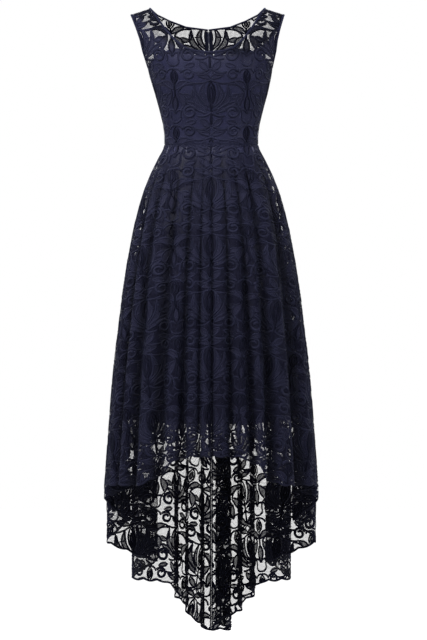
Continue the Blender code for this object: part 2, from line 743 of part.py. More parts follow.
def combine(base, tool, operation):
    tool.hide_render = True
    tool.display_type = "WIRE"
    tool.parent = base
    join = base.modifiers.new(tool.name, "BOOLEAN")
    join.object = tool
    join.operation = operation


def tab_outline():
    """A drop-shaped tab: a narrow neck that widens to a round end."""
    round_end = TAB_LENGTH - TAB_WIDTH / 2
    neck_end = round_end * TAB_NECK_SHARE
    outline = [(-TAB_NECK / 2, TAB_START), (-TAB_NECK / 2, neck_end)]
    for turn in np.linspace(math.pi, 0, ROUND_SIDES // 2 + 1):
        x, y = math.cos(turn) * TAB_WIDTH / 2, math.sin(turn) * TAB_WIDTH / 2
        outline.append((x, round_end + y))
    return outline + [(TAB_NECK / 2, neck_end), (TAB_NECK / 2, TAB_START)]


def build_slider_and_tab(metal):
    """The slider lies on the back's middle, and its tab swings on the pin between its ears."""
    here, outward = back_middle(SLIDER_DROP)
    down = np.cross(outward, [1.0, 0.0, 0.0])
    turn = Matrix(np.column_stack([[1.0, 0.0, 0.0], down, outward]).tolist())
    seat = SLIDER_LIFT + SLIDER_THICK
    pin = seat + PIN_HEIGHT
    plate_size = (SLIDER_WIDTH, SLIDER_LENGTH, SLIDER_THICK)
    slider = block("zip_slider", plate_size, (0, 0, SLIDER_LIFT + SLIDER_THICK / 2))
    for side, word in SIDES:
        middle = (side * (EAR_GAP + EAR_WIDTH) / 2, 0, seat + EAR_HEIGHT / 2 - SEAM_HALF)
        ear = block("cut_ear_" + word, (EAR_WIDTH, EAR_LENGTH, EAR_HEIGHT), middle)
        combine(slider, ear, "UNION")
    half = EAR_GAP / 2 + EAR_WIDTH / 2
    combine(slider, prism("cut_pin", circle(PIN_DIAMETER, pin), -half, half, 0), "UNION")
    tab = prism("zip_pull_tab", circle(EYE_OUTSIDE), -EYE_WIDTH / 2, EYE_WIDTH / 2, 0)
    plate = prism("cut_tab_plate", tab_outline(), -TAB_THICK / 2, TAB_THICK / 2, 2)
    combine(tab, plate, "UNION")
    combine(tab, prism("cut_tab_eye", circle(EYE_INSIDE), -EYE_WIDTH, EYE_WIDTH, 0), "DIFFERENCE")
    for item, height in ((slider, 0.0), (tab, pin)):
        item.data.materials.append(metal)
        item.matrix_world = Matrix.Translation((here + outward * height) * MM) @ turn.to_4x4()


def main():
    clear_scene()
    lace = cloth_material("navy_lace", NAVY_LACE, 0.85)
    satin = cloth_material("navy_satin", NAVY_SATIN, 0.45)
    binding = cloth_material("navy_binding", NAVY_TAPE, 0.6)
    metal = cloth_material("dark_metal", DARK_METAL, 0.35, metallic=0.9)
    build_bodice(lace, satin, binding)
    build_skirt(lace)
    build_skirt_lining(satin)
    build_zip(binding, metal)
    build_slider_and_tab(metal)


main()
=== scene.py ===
# %% [markdown]
# # A lace bridesmaid dress, stitched together in Blender
# The dress is worn by nobody, but it keeps the round, hollow form that a wearer gives it.
# Its construction comes first, as plain solids that are already packed as the frame. This
# lesson lays real cloth on those solids: corded lace over fine net, a satin lining, a
# rolled binding and a concealed zip. Lengths are in millimetres until a mesh is made.
# %% Load the frame
import math

import bpy
import numpy as np
from mathutils import Matrix, Vector


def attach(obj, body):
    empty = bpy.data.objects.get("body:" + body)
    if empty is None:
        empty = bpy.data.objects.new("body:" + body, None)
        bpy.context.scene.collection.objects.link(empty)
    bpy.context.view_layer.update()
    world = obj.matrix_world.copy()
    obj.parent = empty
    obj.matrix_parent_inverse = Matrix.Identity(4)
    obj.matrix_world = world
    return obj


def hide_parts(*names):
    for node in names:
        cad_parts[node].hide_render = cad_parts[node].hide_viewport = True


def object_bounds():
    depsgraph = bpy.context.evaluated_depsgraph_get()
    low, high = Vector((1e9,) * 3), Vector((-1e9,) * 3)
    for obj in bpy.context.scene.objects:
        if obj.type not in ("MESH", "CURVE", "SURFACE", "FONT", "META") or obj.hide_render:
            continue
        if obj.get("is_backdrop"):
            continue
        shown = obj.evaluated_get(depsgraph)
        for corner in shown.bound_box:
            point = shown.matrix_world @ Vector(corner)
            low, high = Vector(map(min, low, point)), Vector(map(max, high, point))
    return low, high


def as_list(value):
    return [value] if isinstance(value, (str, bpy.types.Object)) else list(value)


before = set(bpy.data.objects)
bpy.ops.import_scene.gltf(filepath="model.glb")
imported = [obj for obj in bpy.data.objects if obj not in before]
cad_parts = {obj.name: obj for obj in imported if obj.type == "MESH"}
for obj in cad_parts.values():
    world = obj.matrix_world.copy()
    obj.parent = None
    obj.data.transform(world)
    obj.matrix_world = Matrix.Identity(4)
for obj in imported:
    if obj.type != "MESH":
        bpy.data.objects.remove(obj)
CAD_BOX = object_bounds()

MM = 0.001
print("solids in the frame:", len(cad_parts))

# %% [markdown]
# ## The form under the cloth
# A dress has no form of its own, so every panel is drawn on one: a rounded section at each
# height, given by a half width and by its depth before and behind the side seams. Between
# the rows of this short table the form is straight, which is close enough for cloth. The
# same table shapes the solids, so the cloth lies on them exactly.
# %% The body form
ROUNDNESS = 2.2
WAIST_DROP = 307.5
BODY = np.array(
    [
        # drop, half width, depth in front, depth behind
        (-7.0, 178.0, 118.0, 98.0),
        (8.0, 177.0, 118.0, 98.0),
        (39.0, 167.0, 118.0, 98.0),
        (67.0, 159.0, 118.0, 98.0),
        (94.0, 154.0, 118.0, 98.0),
        (131.0, 143.8, 119.0, 98.0),
        (150.0, 140.3, 120.0, 97.0),
        (186.0, 131.0, 111.0, 93.0),
        (223.0, 120.8, 98.0, 88.0),
        (260.0, 111.6, 90.0, 85.0),
        (285.0, 108.0, 88.0, 84.0),
        (307.5, 108.0, 88.0, 84.0),
        (320.0, 111.6, 91.0, 87.0),
        (338.0, 121.9, 98.0, 97.0),
        (375.0, 140.3, 112.0, 117.0),
        (412.0, 155.3, 124.0, 131.0),
        (449.0, 166.8, 134.0, 142.0),
        (504.0, 180.6, 146.0, 156.0),
        (577.0, 194.4, 158.0, 172.0),
        (651.0, 205.9, 168.0, 187.0),
        (724.0, 214.5, 176.0, 200.0),
        (798.0, 224.0, 184.0, 213.0),
        (872.0, 231.0, 190.0, 224.0),
        (945.0, 236.5, 195.0, 234.0),
        (1019.0, 242.0, 200.0, 244.0),
        (1092.0, 247.3, 205.0, 253.0),
        (1224.0, 247.3, 208.0, 266.0),
        (1431.0, 247.3, 208.0, 282.0),
    ]
)
BODY_COLUMNS = {"half_width": 1, "front": 2, "back": 3}


def body_value(drop, name):
    """A size of the form at a height: drop is how far below the shoulders it lies."""
    return np.interp(drop, BODY[:, 0], BODY[:, BODY_COLUMNS[name]])


def section_point(angle, drop):
    """A point of the form at an angle from centre front, positive to the wearer's left."""
    turn = np.radians(angle)
    side, ahead = np.sin(turn), np.cos(turn)
    reach = (np.abs(side) ** ROUNDNESS + np.abs(ahead) ** ROUNDNESS) ** (-1 / ROUNDNESS)
    depth = np.where(ahead > 0, body_value(drop, "front"), body_value(drop, "back"))
    x = body_value(drop, "half_width") * reach * side
    return np.stack([x, -depth * reach * ahead, -np.asarray(drop, float) + 0 * x], axis=-1)


def inset_point(angle, inset, drop):
    """A point of the form moved straight inwards."""
    here = section_point(angle, drop)
    along = section_point(angle + 1.0, drop) - section_point(angle - 1.0, drop)
    along /= np.linalg.norm(along, axis=-1, keepdims=True)
    inward = np.stack([-along[..., 1], along[..., 0], 0 * along[..., 0]], axis=-1)
    return here + inward * np.asarray(inset)[..., None]


print("waist is", round(2 * float(body_value(WAIST_DROP, "half_width"))), "mm wide")

# %% [markdown]
# ## The skirt's folds
# The skirt is cut as part of a wide ring and falls in soft folds. A fold follows the form
# for a while and then turns in to a valley, so one row of this table is one fold. The hem
# is part of it, because it rises and falls with the folds. Simulated cloth could drape too,
# but the folds of this dress have to stay where they are.
# %% The table of folds
FOLDS = (
    # start, end, valley, inset, hem's drop at the start, at the end
    (-180.0, -173.4, -175.4, 26.0, 1431.0, 1425.0),
    (-171.0, -165.2, -165.8, 26.0, 1408.0, 1384.0),
    (-162.6, -159.2, -159.6, 28.0, 1358.0, 1353.0),
    (-156.6, -133.0, -121.0, 100.0, 1320.0, 1311.0),
    (-108.0, -103.0, -98.0, 55.0, 1228.0, 1222.0),
    (-93.5, -90.0, -85.0, 36.0, 1126.0, 1122.0),
    (-80.0, -66.0, -62.0, 20.0, 1092.0, 1092.0),
    (-58.0, -54.0, -48.6, 24.0, 1092.0, 1092.0),
    (-42.0, -38.0, -30.0, 24.0, 1092.0, 1088.0),
    (-24.0, -21.0, -16.4, 20.0, 1052.0, 1034.0),
    (-12.5, -11.0, -6.8, 13.0, 1027.0, 1026.0),
    (-4.0, -2.5, 0.4, 11.0, 1026.0, 1026.0),
    (4.5, 7.0, 11.1, 18.0, 1026.0, 1026.0),
    (15.5, 18.5, 23.0, 22.0, 1027.0, 1030.0),
    (27.5, 30.0, 34.0, 22.0, 1048.0, 1070.0),
    (40.0, 49.0, 56.0, 28.0, 1092.0, 1092.0),
    (66.0, 80.0, 85.0, 36.0, 1092.0, 1092.0),
    (90.0, 93.5, 98.0, 55.0, 1122.0, 1126.0),
    (103.0, 108.0, 121.0, 100.0, 1222.0, 1228.0),
    (133.0, 153.2, 156.2, 28.0, 1311.0, 1320.0),
    (155.6, 159.8, 164.0, 27.0, 1350.0, 1356.0),
    (162.4, 165.0, 177.0, 44.0, 1384.0, 1388.0),
    (168.4, 180.0, 184.0, 24.0, 1430.0, 1431.0),
)
HEM_AT_START = 4  # the column of FOLDS that holds the hem's drop at a fold's start
VALLEY_HALF = 1.2  # degrees
WAIST_SPREAD = 2  # turns on each side that share out the cloth at the waist


def fold_turns():
    """Every turning point of the folds: angle, inset, hem drop and angle at the waist."""
    turns = []
    for i, (start, end, valley, inset, hem_start, hem_end) in enumerate(FOLDS):
        turns.append([start, 0.0, hem_start])
        turns.append([end, 0.0, hem_end])
        if i < len(FOLDS) - 1:
            between = (hem_end + FOLDS[i + 1][HEM_AT_START]) / 2
            turns.append([valley - VALLEY_HALF, inset, between])
            turns.append([valley + VALLEY_HALF, inset, between])
    turns = np.array(turns)
    waist = turns[:, 0].copy()
    for at in range(WAIST_SPREAD, len(turns) - WAIST_SPREAD):
        waist[at] = turns[at - WAIST_SPREAD : at + WAIST_SPREAD + 1, 0].mean()
    return np.column_stack([turns, np.sort(waist)])


print("folds:", len(FOLDS), "with", len(fold_turns()), "turning points")

# %% [markdown]
# ## From the table to a smooth line
# Cloth has no sharp turns, so the line through the turning points is averaged with a bell
# curve. The line closes at the centre back: a stretch of it is repeated past each end, so
# that the averaging and the seams have something to hold on to. A Bevel or a smooth curve
# object would also round the turns, but would not keep the points evenly spaced.
# %% The path of the folds
HEM_MM_PER_DEGREE = 4.3
PATH_STEP = 2.0
FOLD_SOFTNESS = 5.0
SOFT_REACH = 4  # the averaging ends this many times the softness away
OVERLAP = 4  # turning points that are repeated past each end
PATH_SPARE = 60  # points of the next turn, kept at both ends of the path


def fold_path():
    """The folds as a smooth run of points round the skirt, with a little more at each end."""
    turns = fold_turns()
    whole_turn = np.array([360.0, 0.0, 0.0, 360.0])
    before, after = turns[-OVERLAP - 1 : -1], turns[1 : OVERLAP + 1]
    turns = np.vstack([before - whole_turn, turns, after + whole_turn])
    flat = np.column_stack([turns[:, 0] * HEM_MM_PER_DEGREE, turns[:, 1]])
    along = np.concatenate([[0], np.cumsum(np.linalg.norm(np.diff(flat, axis=0), axis=1))])
    first, last = along[OVERLAP], along[-OVERLAP - 1]
    count = int(round((last - first) / PATH_STEP))
    step = (last - first) / count
    reach = int(SOFT_REACH * FOLD_SOFTNESS / step)
    at = first + step * np.arange(-reach, count + reach + 1)
    rough = np.column_stack([np.interp(at, along, turns[:, k]) for k in range(4)])
    weights = np.exp(-0.5 * (np.arange(-reach, reach + 1) * step / FOLD_SOFTNESS) ** 2)
    weights /= weights.sum()
    path = np.column_stack([np.convolve(rough[:, k], weights, mode="valid") for k in range(4)])
    before = path[-PATH_SPARE - 1 : -1] - whole_turn
    return np.vstack([before, path, path[1 : PATH_SPARE + 1] + whole_turn])


PATH = fold_path()
PLACES = np.arange(len(PATH), dtype=float)
print("path round the skirt:", len(PATH), "points")

# %% [markdown]
# ## How the folds grow
# At the waist the cloth is sewn flat. Each fold opens on the way down, a deep one later
# than a shallow one, and a narrow crease runs down the floor of each valley. Sculpting
# could give such a shape too, but only a formula lets the lining and the seams follow it.
# %% The skirt's surface
FOLD_FULL_DROP = 1092.0
FOLD_GROWTH_POWER = 0.8
FOLD_LATE_INSET = 150.0
CREASE_DEEP = 6.0
CREASE_HALF = 4.0
CREASE_LEAST_VALLEY = 8.0
CREASE_GROWTH = 0.3


def valley_creases():
    """How much of a crease each place of the path has: 1 at the floor of a valley."""
    inset = PATH[:, 1]
    lowest = (inset[1:-1] >= inset[:-2]) & (inset[1:-1] > inset[2:])
    floors = 1 + np.flatnonzero(lowest & (inset[1:-1] > CREASE_LEAST_VALLEY))
    apart = np.abs(PLACES[:, None] - PLACES[floors]) * PATH_STEP
    return np.exp(-((apart.min(axis=1) / CREASE_HALF) ** 2))


CREASES = valley_creases()


def path_value(place, column):
    return np.interp(place, PLACES, PATH[:, column])


def fold_growth(drop):
    """How far the folds have opened at a height: 0 at the waist and 1 low down."""
    return np.clip((drop - WAIST_DROP) / (FOLD_FULL_DROP - WAIST_DROP), 0, 1)


def folds_at(place, drop):
    """The angle and the inset of a place along the path, at a height."""
    growth = fold_growth(drop)
    share = growth**FOLD_GROWTH_POWER
    angle = path_value(place, 3) * (1 - share) + path_value(place, 0) * share
    inset = path_value(place, 1)
    return angle, inset * growth ** (FOLD_GROWTH_POWER + inset / FOLD_LATE_INSET)


def skirt_point(place, drop):
    """The lace's outer point at a place along the fold path and at a height."""
    angle, inset = folds_at(place, drop)
    crease = CREASE_DEEP * np.interp(place, PLACES, CREASES)
    return inset_point(angle, inset + crease * fold_growth(drop) ** CREASE_GROWTH, drop)


print("deepest fold:", round(PATH[:, 1].max()), "mm")

# %% [markdown]
# ## A panel knows its own cut
# Lace has a pattern, and the pattern must not stretch where a panel is narrow. So every
# panel keeps two descriptions of one point: where it is on the dress, and where it was on
# the flat cloth before sewing. A skirt panel is cut as a slice of a ring: its width grows
# steadily from the waist to the hem. Its pattern therefore turns a little at the seams, as
# it does on the real skirt. UV unwrapping would do this too, but would not be repeatable.
# %% Panels of the skirt
LEVEL_STEP = 24.0
LEVELS = np.arange(WAIST_DROP, FOLDS[-1][-1] + LEVEL_STEP, LEVEL_STEP)
SIDE_SEAMS = (-89.84, 89.48)  # angles at the waist
SEAM_HALF = 0.15
SCALLOP_PITCH = 37.5
SCALLOP_DEEP = 4.5
HEM_ROUNDS = 4  # the hem and its place along the path depend on each other


def outward_normals(surface, a, b):
    """Unit normals of a surface of two parameters, pointing away from the upright axis."""
    step_a, step_b = surface.steps
    across = surface.point(a + step_a, b) - surface.point(a - step_a, b)
    down = surface.point(a, b + step_b) - surface.point(a, b - step_b)
    normal = np.cross(across, down)
    normal /= np.maximum(np.linalg.norm(normal, axis=-1, keepdims=True), 1e-9)
    away = surface.point(a, b) * np.array([1.0, 1.0, 0.0])
    return normal * np.sign((normal * away).sum())


def split_level(level, count):
    """The whole and the left-over part of a place between numbered levels."""
    level = np.clip(level, 0, count - 1.001)
    low = level.astype(int)
    return low, level - low


class SkirtPanel:
    """A skirt panel: a is the share of the cloth's own length across it, b is the drop."""

    steps = (0.002, 1.0)
    top = WAIST_DROP + SEAM_HALF

    def __init__(self, name, first, last, mirror=1.0):
        self.name = name
        self.mirror = mirror
        lines = skirt_point(PLACES[None, :], LEVELS[:, None])
        lengths = np.linalg.norm(np.diff(lines, axis=1), axis=2)
        along = np.concatenate([np.zeros((len(LEVELS), 1)), np.cumsum(lengths, axis=1)], axis=1)
        start = np.array([np.interp(first, PLACES, row) for row in along])
        end = np.array([np.interp(last, PLACES, row) for row in along])
        self.shares = (along - start[:, None]) / (end - start)[:, None]
        self.lengths = end - start
        full = np.interp(FOLD_FULL_DROP, LEVELS, self.lengths)
        self.fan = (full - self.lengths[0]) / (FOLD_FULL_DROP - WAIST_DROP)
        self.inner_radius = self.lengths[0] / self.fan

    def place(self, a, b):
        low, part = split_level((b - LEVELS[0]) / LEVEL_STEP, len(LEVELS))
        place = np.zeros_like(part)
        for k in np.unique(low):
            on = low == k
            above = np.interp(a[on], self.shares[k], PLACES)
            below = np.interp(a[on], self.shares[k + 1], PLACES)
            place[on] = above * (1 - part[on]) + below * part[on]
        return place

    def point(self, a, b):
        return skirt_point(self.place(a, b), b)

    def edge(self, a):
        """The hem's drop across the panel."""
        hem = np.full_like(a, FOLD_FULL_DROP)
        for _ in range(HEM_ROUNDS):
            hem = path_value(self.place(a, hem), 2)
        along = (a - 0.5) * np.interp(hem, LEVELS, self.lengths)
        return hem - SCALLOP_DEEP * (1 - np.abs(np.cos(math.pi * along / SCALLOP_PITCH)))

    def to_cut(self, a, b):
        radius = self.inner_radius + b - WAIST_DROP
        turn = (a - 0.5) * self.fan
        return np.stack([self.mirror * radius * np.sin(turn), radius * np.cos(turn)], axis=-1)

    def from_cut(self, cut):
        x = self.mirror * cut[..., 0]
        radius = np.hypot(x, cut[..., 1])
        a = np.arctan2(x, cut[..., 1]) / self.fan + 0.5
        return a, radius - self.inner_radius + WAIST_DROP

    def inside(self, a, b):
        """How far a point lies inside the panel's edges, negative outside."""
        length = np.interp(b, LEVELS, self.lengths)
        beside = np.minimum(a, 1 - a) * length
        return np.minimum(beside, np.minimum(b - self.top, self.edge(a) - b))


def seam_place(angle):
    return float(np.interp(angle, PATH[:, 3], PLACES))


RIGHT_SEAM, LEFT_SEAM = (seam_place(angle) for angle in SIDE_SEAMS)
BACK_START, BACK_END = PLACES[PATH_SPARE], PLACES[-1 - PATH_SPARE]
SKIRT_PANELS = {
    "skirt_back_lace_right": SkirtPanel("skirt_back_lace_right", BACK_START, RIGHT_SEAM, -1.0),
    "skirt_front_lace": SkirtPanel("skirt_front_lace", RIGHT_SEAM, LEFT_SEAM),
    "skirt_back_lace_left": SkirtPanel("skirt_back_lace_left", LEFT_SEAM, BACK_END),
}
for panel in SKIRT_PANELS.values():
    waist, hem = panel.lengths[0], panel.lengths.max()
    print(panel.name, "is", round(waist), "mm wide at the waist and", round(hem), "at most")

# %% [markdown]
# ## The bodice's form
# The bodice lies on the same form. Above the underarm the form closes over the shoulders as
# a dome, so the straps lean in to the neck. Its edges are curves given by a few points: how
# far across the half width, and how far down. Curve objects could hold them, but a share
# of the width fits every height of the form.
# %% Edges of the bodice
UNDERARM_DROP = 131.0
SHOULDER_INNER_DROP = -6.7
SHOULDER_OUTER_DROP = 8.0
STRAP_INNER = 0.73
SHOULDER_LEAN = -9.0
LEAN_END_DROP = 190.0
ARMHOLE_CUT = 0.14
DOME_LENGTH = 128.0  # the cloth's length for each radian over the shoulder
FRONT_NECK = np.array(
    [
        # share of the half width, drop
        (0.00, 94.3),
        (0.20, 91.0),
        (0.36, 83.0),
        (0.49, 64.0),
        (0.59, 39.0),
        (0.68, 5.5),
        (0.73, -6.7),
        (1.00, 8.0),
    ]
)
BACK_NECK = np.array(
    [
        (0.00, 41.0),
        (0.30, 34.5),
        (0.50, 21.0),
        (0.65, 7.0),
        (0.73, -6.7),
        (1.00, 8.0),
    ]
)
FRONT_LINING_TOP = np.array(
    [
        (0.00, 106.0),
        (0.20, 103.0),
        (0.36, 96.0),
        (0.47, 86.0),
        (0.60, 90.0),
        (0.80, 102.0),
        (1.00, 131.0),
    ]
)
BACK_LINING_TOP = np.array([(0.00, 104.0), (0.50, 108.0), (1.00, 131.0)])
print("lowest point of the front neck:", FRONT_NECK[:, 1].max(), "mm down")

# %% [markdown]
# ## The bodice's cloth
# A bodice panel also goes both ways between the dress and its flat cut. Across, it measures
# along the rounded section. Upwards, it measures along the dome over the shoulder. Where
# the way back has no formula, it is found in a few rounds.
# %% Panels of the bodice
BODICE_STEP = 6.0
BODICE_SPARE = 8.0
HALF_SAMPLES = 61
FIRST_HALF_WIDTH = 150.0  # the first guess on the way back from the cut
CUT_ROUNDS = 3
PAST_EDGE = 1.2  # a share that surely lies outside a panel
BACK_GAP = 0.003  # share of the half width beside the centre-back seam
SIDE_ZONE = 0.9  # beyond this share the section turns to the side,
SIDE_STRETCH = 1.8  # and the cloth is longer than the width shows
NECK_SLANT = 0.7  # the neck edge slants, so it is nearer than straight up
STRAP_ZONE = 0.6  # beyond this share a panel ends at the shoulder seam
STRAP_LENGTH = 200.0
FAR_INSIDE = 99.0


def lean(drop):
    return SHOULDER_LEAN * np.clip(1 - np.asarray(drop) / LEAN_END_DROP, 0, 1)


def shoulder_drop(share):
    strap = np.clip((share - STRAP_INNER) / (1 - STRAP_INNER), 0, 1)
    return SHOULDER_INNER_DROP + (SHOULDER_OUTER_DROP - SHOULDER_INNER_DROP) * strap


def evened_half(count):
    """Shares of the half width that lie about evenly along the rounded section."""
    return np.sin(np.radians(np.linspace(0, 90, count))) ** (2 / ROUNDNESS)


class BodicePanel:
    """A bodice panel: a goes across from -1 to 1 by the half width, b is the drop."""

    steps = (0.002, 1.0)
    bottom = WAIST_DROP - SEAM_HALF

    def __init__(self, name, front, neck, lining_top, first, last):
        self.name = name
        self.front = front
        self.neck = neck
        self.lining_top = lining_top
        self.first, self.last = first, last
        self.drops = np.arange(-BODICE_SPARE, WAIST_DROP + BODICE_SPARE, BODICE_STEP)
        self.half = evened_half(HALF_SAMPLES)
        lines = self.point(self.half[None, :], self.drops[:, None])
        lengths = np.linalg.norm(np.diff(lines, axis=1), axis=2)
        self.along = np.concatenate([np.zeros((len(lines), 1)), np.cumsum(lengths, axis=1)], axis=1)

    def point(self, a, b):
        a, b = np.broadcast_arrays(np.asarray(a, float), np.asarray(b, float))
        share = np.minimum(np.abs(a), 1.0)
        rise = np.clip((UNDERARM_DROP - b) / (UNDERARM_DROP - shoulder_drop(share)), 0, 1)
        kept = share * (1 - ARMHOLE_CUT * rise)
        depth = body_value(b, "front" if self.front else "back") * np.sqrt(1 - rise**2)
        y = depth * np.maximum(1 - kept**ROUNDNESS, 0) ** (1 / ROUNDNESS) + SEAM_HALF
        x = body_value(b, "half_width") * a + lean(b)
        return np.stack([x, -y if self.front else y, -b], axis=-1)

    def edge(self, a):
        """The neck edge's drop across the panel."""
        return np.interp(np.abs(a), self.neck[:, 0], self.neck[:, 1])

    def level(self, b):
        return split_level((b - self.drops[0]) / BODICE_STEP, len(self.drops))

    def to_cut(self, a, b):
        a, b = np.broadcast_arrays(a, b)
        low, part = self.level(b)
        along = np.zeros(a.shape)
        for k in np.unique(low):
            on = low == k
            above = np.interp(np.abs(a[on]), self.half, self.along[k])
            below = np.interp(np.abs(a[on]), self.half, self.along[k + 1])
            along[on] = above * (1 - part[on]) + below * part[on]
        span = UNDERARM_DROP - shoulder_drop(np.abs(a))
        turn = np.arcsin(np.clip((UNDERARM_DROP - b) / span, 0, 1))
        down = np.where(b < UNDERARM_DROP, UNDERARM_DROP - DOME_LENGTH * turn, b)
        return np.stack([np.sign(a) * along, down], axis=-1)

    def from_cut(self, cut):
        x, down = cut[..., 0], cut[..., 1]
        turn = np.clip((UNDERARM_DROP - down) / DOME_LENGTH, 0, math.pi / 2)
        share = np.clip(np.abs(x) / FIRST_HALF_WIDTH, 0, 1)
        for _ in range(CUT_ROUNDS):
            span = UNDERARM_DROP - shoulder_drop(share)
            drop = np.where(turn > 0, UNDERARM_DROP - span * np.sin(turn), down)
            low, part = self.level(drop)
            share = np.zeros(x.shape)
            for k in np.unique(low):
                on = low == k
                across = np.abs(x[on])
                above = np.interp(across, self.along[k], self.half, right=PAST_EDGE)
                below = np.interp(across, self.along[k + 1], self.half, right=PAST_EDGE)
                share[on] = above * (1 - part[on]) + below * part[on]
        return np.sign(x) * share, drop

    def inside(self, a, b):
        """Roughly how far a point lies inside the panel's edges, negative outside."""
        width = body_value(b, "half_width")
        beside = np.minimum(a - self.first, self.last - a) * width
        beside = np.where(np.abs(a) > SIDE_ZONE, beside * SIDE_STRETCH, beside)
        neck = (b - self.edge(a)) * np.where(np.abs(a) < STRAP_INNER, NECK_SLANT, 1.0)
        turn = (UNDERARM_DROP - b) / (UNDERARM_DROP - shoulder_drop(np.minimum(np.abs(a), 1)))
        seam = np.where(np.abs(a) > STRAP_ZONE, (1 - turn) * STRAP_LENGTH, FAR_INSIDE)
        return np.minimum(np.minimum(beside, neck), np.minimum(self.bottom - b, seam))


BODICE_PANELS = {
    name: BodicePanel(name, name.startswith("bodice_front"), neck, lining, first, last)
    for name, neck, lining, first, last in (
        ("bodice_front_lace", FRONT_NECK, FRONT_LINING_TOP, -1.0, 1.0),
        ("bodice_back_lace_right", BACK_NECK, BACK_LINING_TOP, -1.0, -BACK_GAP),
        ("bodice_back_lace_left", BACK_NECK, BACK_LINING_TOP, BACK_GAP, 1.0),
    )
}
PANELS = {**SKIRT_PANELS, **BODICE_PANELS}
print("panels of lace:", ", ".join(PANELS))

# %% [markdown]
# ## The lace's pattern
# Corded lace is net with shapes worked into it: leaves and petals are filled closely, and a
# thick cord follows their outlines, stems and scrolls. One repeat is drawn here as curves,
# for one half only. Its mirror image and its rows make the rest, as a lace machine does.
# The repeat is a common scroll-and-bud one. Numbers are millimetres on the flat cloth.
# %% Curves of one repeat
DRAWN_HALF = 75.0  # the tables below are drawn on half a repeat this wide,
REPEAT_HALF = 87.5  # and the cloth has it this wide
REPEAT_HIGH = 130.0
CURVE_STEP = 4.2
LEAVES = (
    # base x, y, tip x, y, bulge of one side, of the other, filled
    (0.0, 86.0, 0.0, 34.0, 7.5, -7.5, False),
    (0.0, 78.0, 0.0, 45.0, 3.2, -3.2, True),
    (2.0, 93.0, 11.0, 36.0, 17.0, 7.5, True),
    (4.0, 99.0, 33.0, 41.0, 19.0, 8.5, True),
    (9.0, 107.0, 52.0, 79.0, -7.0, 3.5, True),
    (27.0, 17.0, 0.0, 27.0, 7.0, -4.0, True),
    (68.0, 58.0, 55.0, 90.0, 10.0, -3.0, True),
    (75.0, 103.0, 75.0, 66.0, 6.0, -6.0, True),
    (46.0, 34.0, 73.0, 52.0, -10.0, 2.0, True),
    (21.0, 118.0, 4.0, 138.0, 6.0, -6.0, True),
    (75.0, 6.0, 75.0, 38.0, 7.5, -7.5, False),
    (75.0, 12.0, 75.0, 32.0, 3.0, -3.0, True),
    (38.0, 70.0, 56.0, 62.0, 7.0, -3.0, True),
    (30.0, 124.0, 52.0, 130.0, 4.5, -4.5, True),
)
SCROLLS = (
    # centre x, y, outer radius, inner radius, start in degrees, turns, width
    (43.0, 104.0, 15.5, 5.5, 200.0, 1.4, 5.0),
    (45.0, 17.0, 13.5, 4.5, -30.0, -1.35, 4.6),
)
STEMS = (
    # from x, y, to x, y, bulge, width
    (0.0, 86.0, 0.0, 133.0, 0.0, 4.2),
    (0.0, 104.0, 28.0, 112.0, 5.0, 3.6),
    (58.0, 100.0, 75.0, 107.0, -5.0, 3.6),
    (58.0, 14.0, 75.0, 4.0, -4.0, 3.4),
    (0.0, 3.0, 33.0, 12.0, 5.0, 3.6),
    (0.0, 8.0, 27.0, 17.0, 6.0, 2.8),
    (0.0, 30.0, 46.0, 34.0, 6.0, 3.2),
    (33.0, 41.0, 68.0, 58.0, -8.0, 3.4),
    (36.0, 52.0, 38.0, 70.0, 3.0, 2.8),
    (55.0, 90.0, 62.0, 118.0, -4.0, 3.0),
    (62.0, 118.0, 75.0, 128.0, 3.0, 3.4),
    (75.0, 38.0, 75.0, 66.0, 0.0, 3.4),
    (13.0, 56.0, 28.0, 60.0, 3.0, 2.4),
)
LEAF_CORD = 4.4
STEM_MORE = 1.4  # the stems and scrolls are drawn this much wider than the table says
print("shapes in half a repeat:", len(LEAVES) + len(SCROLLS) + len(STEMS))


# %% The repeat's lines
def bent_line(start, end, bulge):
    """A curve that leaves the straight way between two points by a bulge at its middle."""
    start, end = np.array(start, float), np.array(end, float)
    along = end - start
    beside = np.array([-along[1], along[0]]) / np.linalg.norm(along)
    steps = max(3, int(np.linalg.norm(along) / CURVE_STEP))
    t = np.linspace(0, 1, steps + 1)[:, None]
    return start + along * t + beside * bulge * 4 * t * (1 - t)


def leaf_outline(x, y, tip_x, tip_y, one, other):
    first = bent_line((x, y), (tip_x, tip_y), one)
    second = bent_line((x, y), (tip_x, tip_y), other)
    return np.vstack([first, second[-2:0:-1]])


def scroll_line(x, y, outer, inner, start, turns):
    length = math.pi * (outer + inner) * abs(turns)
    t = np.linspace(0, 1, int(length / CURVE_STEP) + 1)
    radius = outer + (inner - outer) * t
    turn = math.radians(start) + 2 * math.pi * turns * t
    return np.column_stack([x + radius * np.cos(turn), y + radius * np.sin(turn)])


CURVES = []  # (points, closed, width)
for *leaf, _ in LEAVES:
    CURVES.append((leaf_outline(*leaf), True, LEAF_CORD))
for *scroll, width in SCROLLS:
    CURVES.append((scroll_line(*scroll), False, width * STEM_MORE))
for x, y, end_x, end_y, bulge, width in STEMS:
    CURVES.append((bent_line((x, y), (end_x, end_y), bulge), False, width * STEM_MORE))
WIDER = np.array([REPEAT_HALF / DRAWN_HALF, 1.0])
CURVES = [(points * WIDER, closed, width) for points, closed, width in CURVES]
print("curves in half a repeat:", len(CURVES))

